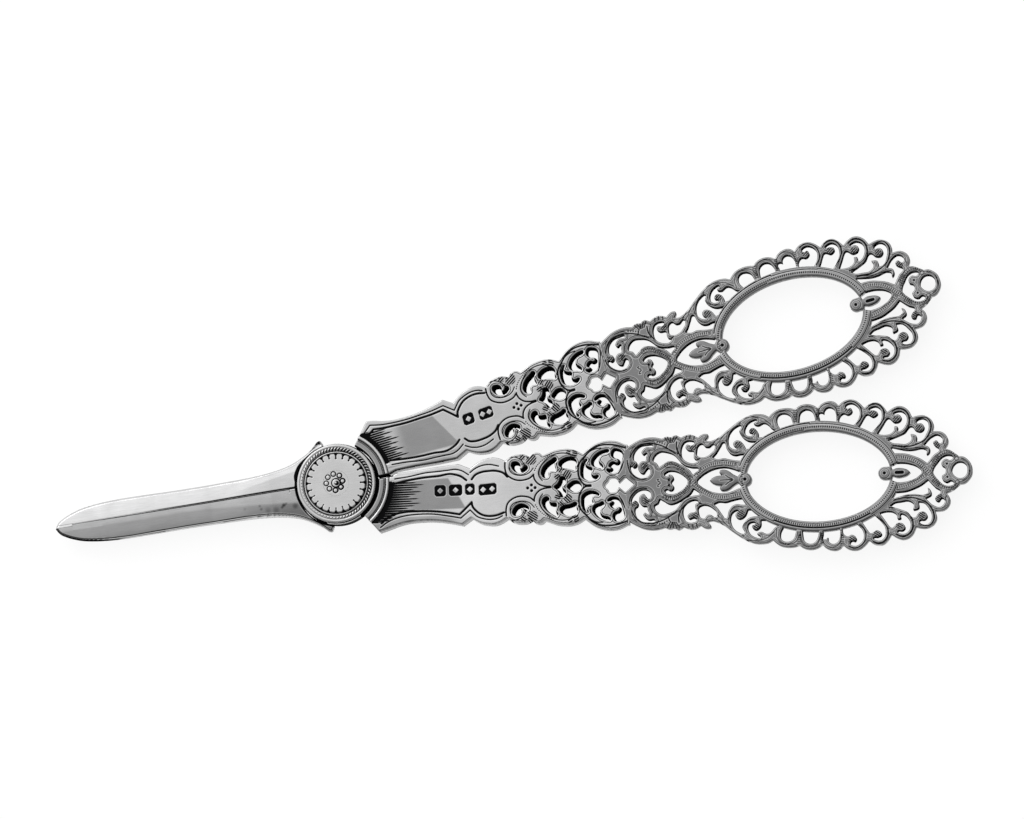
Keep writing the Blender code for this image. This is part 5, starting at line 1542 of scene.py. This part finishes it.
def silver(name, colour, roughness, oxide_and_shadow, wall, brushed):
    """A silver finish: polished metal, black in the cuts, painted shade down the walls.

    The oxide colour fills every place where the piece's cut distance is below zero, and fades
    over a twentieth of a millimetre: blackened engraving, and painted shadow where marks lie
    in the gaps between pieces. A hatched place is black where its share of black is more than
    the distance to the nearest stroke's middle, in half pitches. The walls are told from the
    faces by the height of their normal, which a joint's turn leaves as it is. Walls, free edges
    and the painted shade field darken towards the wall colour as painted shade, and inner walls
    are painted fully dark and not metallic.
    """
    material = bpy.data.materials.new(name)
    material.use_nodes = True
    nodes = Nodes(material.node_tree)
    cut, painted_shade_and_stains = nodes.attribute("cut"), nodes.attribute("painted_shade_and_stains")
    # Painted shade: by the painted shade field, down the walls and along the free edges

    # The bare metal: clouds and fine scratches
    place = nodes.add("ShaderNodeTexCoord").outputs["Object"]
    stretch = nodes.add("ShaderNodeMapping")
    nodes.link(place, stretch.inputs["Vector"])
    stretch.inputs["Rotation"].default_value = (0.0, 0.0, SCRATCH_TURN)
    stretch.inputs["Scale"].default_value = SCRATCH_SCALE
    cloud = nodes.ramp(nodes.noise(place, CLOUD_SCALE, 3.0), 0.3, 0.7, 0.96, 1.04)
    scratch = nodes.noise(stretch.outputs[0], 1.0, 3.0)
    shade = nodes.maths("MULTIPLY", cloud, nodes.ramp(scratch, 0.3, 0.7, 0.95, 1.05))
    tint = nodes.add("ShaderNodeCombineColor")
    for socket in tint.inputs:
        nodes.link(shade, socket)
    bright = nodes.mix(1.0, colour, tint.outputs[0], "MULTIPLY")

    # Tarnish by tone, down the walls and along the free edges
    axes = nodes.add("ShaderNodeSeparateXYZ")
    nodes.link(nodes.add("ShaderNodeNewGeometry").outputs["True Normal"], axes.inputs[0])
    side = nodes.ramp(nodes.maths("ABSOLUTE", axes.outputs["Z"]), 0.2, 0.6, 1.0, 0.0)
    inner = nodes.maths("MULTIPLY", side, nodes.maths("SUBTRACT", 1.0, nodes.attribute("outer")))
    shaded_colour = nodes.mix(nodes.maths("MULTIPLY", painted_shade_and_stains, 0.55), bright, wall)
    shaded_colour = nodes.mix(nodes.maths("MULTIPLY", side, 0.45), shaded_colour, wall)
    shaded_colour = nodes.mix(inner, shaded_colour, wall)
    shaded_colour = nodes.mix(nodes.ramp(nodes.attribute("edge"), 0.0, 0.1, 0.35, 0.0), shaded_colour, wall)

    # Grime beside the cuts, a glint along their rims, and black in them
    glint = nodes.maths(
        "MULTIPLY", nodes.ramp(cut, 0.03, 0.09), nodes.ramp(cut, 0.11, 0.2, 0.4, 0.0)
    )
    shade_grime_and_glint = nodes.mix(nodes.ramp(cut, 0.0, 0.2, 0.2, 0.0), shaded_colour, wall)
    shade_grime_and_glint = nodes.mix(glint, shade_grime_and_glint, (0.9, 0.9, 0.9))
    stroke = nodes.maths("SUBTRACT", nodes.maths("FRACT", nodes.attribute("across")), 0.5)
    stroke = nodes.maths("MULTIPLY", nodes.maths("ABSOLUTE", stroke), 2.0)
    stroke = nodes.maths("SUBTRACT", nodes.attribute("hatch"), stroke)
    black = nodes.maths(
        "MAXIMUM", nodes.ramp(cut, -0.03, 0.03, 1.0, 0.0), nodes.ramp(stroke, 0.0, 0.3)
    )
    # Inner walls lose their metal, so that their painted shade stays dark.
    bare = nodes.maths("SUBTRACT", 1.0, nodes.maths("MAXIMUM", black, inner))

    shader = nodes.add("ShaderNodeBsdfPrincipled")
    nodes.link(nodes.mix(black, shade_grime_and_glint, oxide_and_shadow), shader.inputs["Base Color"])
    nodes.link(bare, shader.inputs["Metallic"])
    shader.inputs["Specular IOR Level"].default_value = 0.0
    rough = nodes.ramp(scratch, 0.25, 0.75, roughness * 0.8, roughness * 1.2)
    rough = nodes.maths("ADD", rough, nodes.maths("MULTIPLY", black, 0.3))
    nodes.link(rough, shader.inputs["Roughness"])
    bump = nodes.add("ShaderNodeBump")
    bump.inputs["Strength"].default_value = 0.12
    bump.inputs["Distance"].default_value = 0.00004
    scratched = nodes.maths("MULTIPLY", scratch, 1.0 + brushed)
    grain = nodes.noise(place, GRAIN_SCALE, 2.0)
    nodes.link(nodes.maths("ADD", grain, scratched), bump.inputs["Height"])
    nodes.link(bump.outputs[0], shader.inputs["Normal"])
    output = nodes.add("ShaderNodeOutputMaterial")
    nodes.link(shader.outputs[0], output.inputs["Surface"])
    return material


def finishes(settings):
    """The shears' four finishes, made once from the panel's colours."""
    made = {m.name: m for m in bpy.data.materials}
    oxide_and_shadow, wall = tuple(settings.oxide_and_shadow), tuple(settings.wall)
    wanted = {
        # The bows' silver is a darker copy of the shanks': painted shade, on a satin finish.
        "satin_bow_silver": (settings.satin_shaded, settings.satin_roughness, 0.3),
        "polished_shank_silver": (settings.polished, settings.polished_roughness, 0.0),
        "engraved_joint_silver": (settings.joint, settings.joint_roughness, 0.6),
        "bright_edge_steel": (settings.steel, settings.steel_roughness, 1.0),
    }
    for name, (colour, roughness, brushed) in wanted.items():
        if name not in made:
            made[name] = silver(name, tuple(colour), roughness, oxide_and_shadow, wall, brushed)
    return made


# The panel's values


def colour_property(name, description, default):
    """A colour that the panel shows."""
    return FloatVectorProperty(
        name=name, description=description, subtype="COLOR", default=default, min=0.0, max=1.0
    )


def length_property(name, description, default):
    """A length that the panel shows."""
    return FloatProperty(
        name=name, description=description, unit="LENGTH", default=default, min=0.0, precision=5
    )


def roughness_property(name, description, default):
    """A roughness that the panel shows."""
    return FloatProperty(
        name=name, description=description, subtype="FACTOR", default=default, min=0.0, max=1.0
    )


class ReliefSettings(bpy.types.PropertyGroup):
    """The sizes of the engraved and pierced plates."""

    grid: length_property("Grid", "Side of a cell of the worked faces", 0.00013)
    line: length_property("Line", "Width of a plain engraved line", 0.00017)
    depth: length_property("Depth", "Depth of the engraving", 0.00008)
    rounding: length_property("Rounding", "Radius of the worn edges", 0.0002)


class JointSettings(bpy.types.PropertyGroup):
    """The counts of the joint's repeated ornaments."""

    beads: IntProperty(name="Beads", description="Beads round the milled ring", default=68, min=8)
    pins: IntProperty(name="Pins", description="Pins round the dial", default=24, min=6)
    dots: IntProperty(name="Dots", description="Dots round the rivet's head", default=8, min=4)


class FinishSettings(bpy.types.PropertyGroup):
    """The colours and polish of the silver."""

    # A darker copy of the shanks' silver: painted shade for the flat bows and rings, on a satin
    # finish.
    satin_shaded: colour_property("Satin silver", "Colour of bows and rings", (0.228, 0.228, 0.23))
    satin_roughness: roughness_property("Satin roughness", "Roughness of bows and rings", 0.32)
    polished: colour_property(
        "Polished silver", "Colour of shanks and blades", (0.615, 0.615, 0.618)
    )
    polished_roughness: roughness_property(
        "Polished roughness", "Roughness of shanks and blades", 0.2
    )
    joint: colour_property("Joint silver", "Colour of the joint", (0.57, 0.57, 0.57))
    joint_roughness: roughness_property("Joint roughness", "Roughness of the joint", 0.28)
    steel: colour_property("Edge steel", "Colour of the cutting strips", (0.59, 0.592, 0.595))
    steel_roughness: roughness_property(
        "Steel roughness", "Roughness of the cutting strips", 0.2
    )
    # The oxide colour blackens the engraving and also the painted shadows laid as marks in gaps.
    oxide_and_shadow: colour_property("Oxide", "Colour of the blackened cuts", (0.006, 0.006, 0.0065))
    # The wall colour is what painted shade darkens to; grime beside the cuts uses it too.
    wall: colour_property("Wall", "Colour of the tarnished walls", (0.012, 0.012, 0.0125))


class StageSettings(bpy.types.PropertyGroup):
    """The floor, the light and the camera."""

    floor: colour_property("Floor", "Colour of the floor", (0.9, 0.9, 0.9))
    camera_place: FloatVectorProperty(
        name="Camera place", description="Where the camera stands", subtype="TRANSLATION",
        default=(0.190754, -0.262784, 1.627548),
    )
    camera_target: FloatVectorProperty(
        name="Camera target", description="The middle of the view", subtype="TRANSLATION",
        default=(0.035947, 0.008873, 0.006),
    )
    camera_turn: FloatProperty(
        name="Camera turn", description="Turn of the picture about the view", subtype="ANGLE",
        default=0.0155,
    )
    lens: FloatProperty(name="Lens", description="Focal length in millimetres", default=300.0)
    key_light: FloatProperty(
        name="Key light", description="Power of the large soft lamp", default=1.2, min=0.0
    )
    sky: FloatProperty(
        name="Sky", description="Level of the surrounding light", default=1.0, min=0.0
    )


class ShearsSettings(bpy.types.PropertyGroup):
    """Everything that can be changed about the shears' look."""

    relief: PointerProperty(name="Relief", description="Engraved plates", type=ReliefSettings)
    joint: PointerProperty(name="Joint", description="The joint's ornaments", type=JointSettings)
    finish: PointerProperty(name="Finish", description="Colours and polish", type=FinishSettings)
    stage: PointerProperty(name="Stage", description="Floor, light, camera", type=StageSettings)


# The operators

HANDLE_BODIES = {"upper": "front_half", "lower": "rear_half"}
FACES = {"upper": "front", "lower": "rear"}
BLADE_SIDES = {"upper": "lower", "lower": "upper"}


class SHEARS_OT_bows(bpy.types.Operator):
    """Make the two pierced bows"""

    bl_idname = "shears.bows"
    bl_label = "Bows"

    def execute(self, context):
        settings = context.scene.grape_shears
        material = finishes(settings.finish)["satin_bow_silver"]
        for handle, body in HANDLE_BODIES.items():
            piece = add_bow(handle, settings.relief)
            ride(piece, handle + "_bow", body, material)
        return {"FINISHED"}


class SHEARS_OT_finger_rings(bpy.types.Operator):
    """Make the two beaded finger rings"""

    bl_idname = "shears.finger_rings"
    bl_label = "Finger rings"

    def execute(self, context):
        settings = context.scene.grape_shears
        material = finishes(settings.finish)["satin_bow_silver"]
        for handle, body in HANDLE_BODIES.items():
            piece = add_ring(handle, settings.relief)
            ride(piece, handle + "_finger_ring", body, material)
        return {"FINISHED"}


class SHEARS_OT_shanks(bpy.types.Operator):
    """Make the two shanks with their collars"""

    bl_idname = "shears.shanks"
    bl_label = "Shanks and collars"

    def execute(self, context):
        settings = context.scene.grape_shears
        material = finishes(settings.finish)["polished_shank_silver"]
        for handle, body in HANDLE_BODIES.items():
            piece = add_shank(handle, settings.relief)
            ride(piece, handle + "_shank", body, material)
            piece = add_collar(handle, settings.relief)
            ride(piece, handle + "_collar", body, material)
        return {"FINISHED"}


class SHEARS_OT_blades(bpy.types.Operator):
    """Make the two blades with their steel strips"""

    bl_idname = "shears.blades"
    bl_label = "Blades"

    def execute(self, context):
        settings = context.scene.grape_shears
        made = finishes(settings.finish)
        for handle, body in HANDLE_BODIES.items():
            name = BLADE_SIDES[handle]
            piece = add_blade(name, handle, settings.relief)
            ride(piece, name + "_blade", body, made["polished_shank_silver"])
            piece = add_strip(name, handle)
            ride(piece, name + "_cutting_edge", body, made["bright_edge_steel"])
        return {"FINISHED"}


class SHEARS_OT_joint(bpy.types.Operator):
    """Make the joint's plates, milled rings, dials and rivet"""

    bl_idname = "shears.joint"
    bl_label = "Joint"

    def execute(self, context):
        settings = context.scene.grape_shears
        counts = settings.joint
        material = finishes(settings.finish)["engraved_joint_silver"]
        for handle, body in HANDLE_BODIES.items():
            face, side = FACES[handle], HANDLES[handle][0]
            piece = add_plate(face, side)
            ride(piece, face + "_joint_plate", body, material)
            piece = add_milled_ring(face, side, counts.beads)
            ride(piece, face + "_rope_ring", body, material)
            piece = add_dial(face, side, counts.pins)
            ride(piece, face + "_dial", body, material)
        piece = add_rivet(counts.dots)
        ride(piece, "pivot_rivet", "rear_half", material)
        return {"FINISHED"}


class SHEARS_OT_stage(bpy.types.Operator):
    """Set up the floor, the soft light and the camera"""

    bl_idname = "shears.stage"
    bl_label = "Stage"

    def execute(self, context):
        stage = context.scene.grape_shears.stage
        add_floor(stage)
        add_light(stage)
        add_camera(stage)
        context.scene.view_settings.view_transform = "Standard"
        return {"FINISHED"}


FLOOR_REACH = 3.0
# The floor's share of painted colour, which takes shadow, and its own share of white.
FLOOR_PAINT, FLOOR_WHITE = 0.22, 0.87
SKY_AXIS = (-0.45, 0.75, 0.5)
SKY_LEVELS = (0.25, 1.75)
LAMP_SIZE = (0.5, 0.35)
LAMP_AIM, LAMP_AWAY = (0.036, 0.0, 0.0), (-0.5, 0.75, 0.6)
SENSOR_WIDTH = 36.0
CAMERA_REACH = 20.0


def add_floor(stage):
    """A flat floor whose colour reaches white where nothing shades it."""
    reach = np.linspace(-FLOOR_REACH, FLOOR_REACH, 5)
    x, y = np.meshgrid(reach, reach)
    places = np.stack([x, y, np.zeros_like(x)], axis=-1).reshape(-1, 3)
    floor = mesh_object("floor", places, [grid_faces(np.arange(x.size).reshape(x.shape))])
    material = bpy.data.materials.new("pale_floor")
    material.use_nodes = True
    nodes = Nodes(material.node_tree)
    paint = nodes.add("ShaderNodeBsdfDiffuse")
    paint.inputs["Color"].default_value = (*[FLOOR_PAINT * c for c in stage.floor], 1.0)
    glow = nodes.add("ShaderNodeEmission")
    path = nodes.add("ShaderNodeLightPath")
    seen = nodes.maths("MAXIMUM", path.outputs["Is Camera Ray"], path.outputs["Is Glossy Ray"])
    seen = nodes.maths("MAXIMUM", seen, path.outputs["Is Transmission Ray"])
    nodes.link(nodes.maths("MULTIPLY", seen, FLOOR_WHITE), glow.inputs["Strength"])
    both = nodes.add("ShaderNodeAddShader")
    nodes.link(paint.outputs[0], both.inputs[0])
    nodes.link(glow.outputs[0], both.inputs[1])
    output = nodes.add("ShaderNodeOutputMaterial")
    nodes.link(both.outputs[0], output.inputs["Surface"])
    floor.data.materials.append(material)


def add_light(stage):
    """A sky that is brighter on one side, and one large soft lamp high on that side.

    The sky's level follows the dot product of the direction looked at with a tilted axis.
    """
    world = bpy.data.worlds.new("soft_studio")
    world.use_nodes = True
    nodes = Nodes(world.node_tree)
    looked = nodes.add("ShaderNodeTexCoord").outputs["Generated"]
    axis = nodes.add("ShaderNodeVectorMath", operation="DOT_PRODUCT")
    nodes.link(looked, axis.inputs[0])
    axis.inputs[1].default_value = SKY_AXIS
    level = nodes.ramp(axis.outputs["Value"], -0.2, 1.2, *SKY_LEVELS)
    back = nodes.add("ShaderNodeBackground")
    nodes.link(nodes.maths("MULTIPLY", level, stage.sky), back.inputs["Strength"])
    output = nodes.add("ShaderNodeOutputWorld")
    nodes.link(back.outputs[0], output.inputs["Surface"])
    bpy.context.scene.world = world
    data = bpy.data.lights.new("key_lamp", "AREA")
    data.shape = "RECTANGLE"
    data.size, data.size_y = LAMP_SIZE
    data.energy = stage.key_light
    lamp = bpy.data.objects.new("key_lamp", data)
    aim = Vector(LAMP_AIM)
    lamp.location = aim + Vector(LAMP_AWAY)
    lamp.rotation_euler = (lamp.location - aim).to_track_quat("Z", "Y").to_euler()
    bpy.context.scene.collection.objects.link(lamp)


def add_camera(stage):
    """A long lens high over the shears, turned so that they lie level in the picture."""
    data = bpy.data.cameras.new("camera")
    data.lens = stage.lens
    data.sensor_width = SENSOR_WIDTH
    data.clip_end = CAMERA_REACH
    camera = bpy.data.objects.new("camera", data)
    bpy.context.scene.collection.objects.link(camera)
    back = (Vector(stage.camera_place) - Vector(stage.camera_target)).normalized()
    level = Vector((math.sin(PHOTO_TURN), math.cos(PHOTO_TURN), 0.0))
    right = level.cross(back).normalized()
    up = back.cross(right)
    turn = Matrix.Rotation(stage.camera_turn, 3, back)
    right, up = turn @ right, turn @ up
    camera.matrix_world = Matrix.Translation(stage.camera_place) @ Matrix(
        (right, up, back)
    ).transposed().to_4x4()
    bpy.context.scene.camera = camera


class SHEARS_PT_panel(bpy.types.Panel):
    """The shears' pieces and their values, in the 3D view's sidebar"""

    bl_idname = "SHEARS_PT_panel"
    bl_label = "Grape shears"
    bl_space_type = "VIEW_3D"
    bl_region_type = "UI"
    bl_category = "Grape shears"

    def draw(self, context):
        settings = context.scene.grape_shears
        for operator in OPERATORS:
            self.layout.operator(operator.bl_idname)
        for group in (settings.relief, settings.joint, settings.finish, settings.stage):
            box = self.layout.box()
            for key in group.bl_rna.properties.keys():
                if key not in ("rna_type", "name"):
                    box.prop(group, key)


OPERATORS = (
    SHEARS_OT_stage,
    SHEARS_OT_bows,
    SHEARS_OT_finger_rings,
    SHEARS_OT_shanks,
    SHEARS_OT_blades,
    SHEARS_OT_joint,
)
CLASSES = (
    ReliefSettings, JointSettings, FinishSettings, StageSettings, ShearsSettings,
    *OPERATORS, SHEARS_PT_panel,
)


def register():
    """Register the classes, and the values on the scene."""
    for cls in CLASSES:
        bpy.utils.register_class(cls)
    bpy.types.Scene.grape_shears = PointerProperty(type=ShearsSettings)


def unregister():
    """Take the values and the classes away again."""
    del bpy.types.Scene.grape_shears
    for cls in reversed(CLASSES):
        bpy.utils.unregister_class(cls)


def main():
    """Build it all in order."""
    register()
    bpy.ops.shears.stage()
    bpy.ops.shears.bows()
    bpy.ops.shears.finger_rings()
    bpy.ops.shears.shanks()
    bpy.ops.shears.blades()
    bpy.ops.shears.joint()


if __name__ == "__main__":
    main()
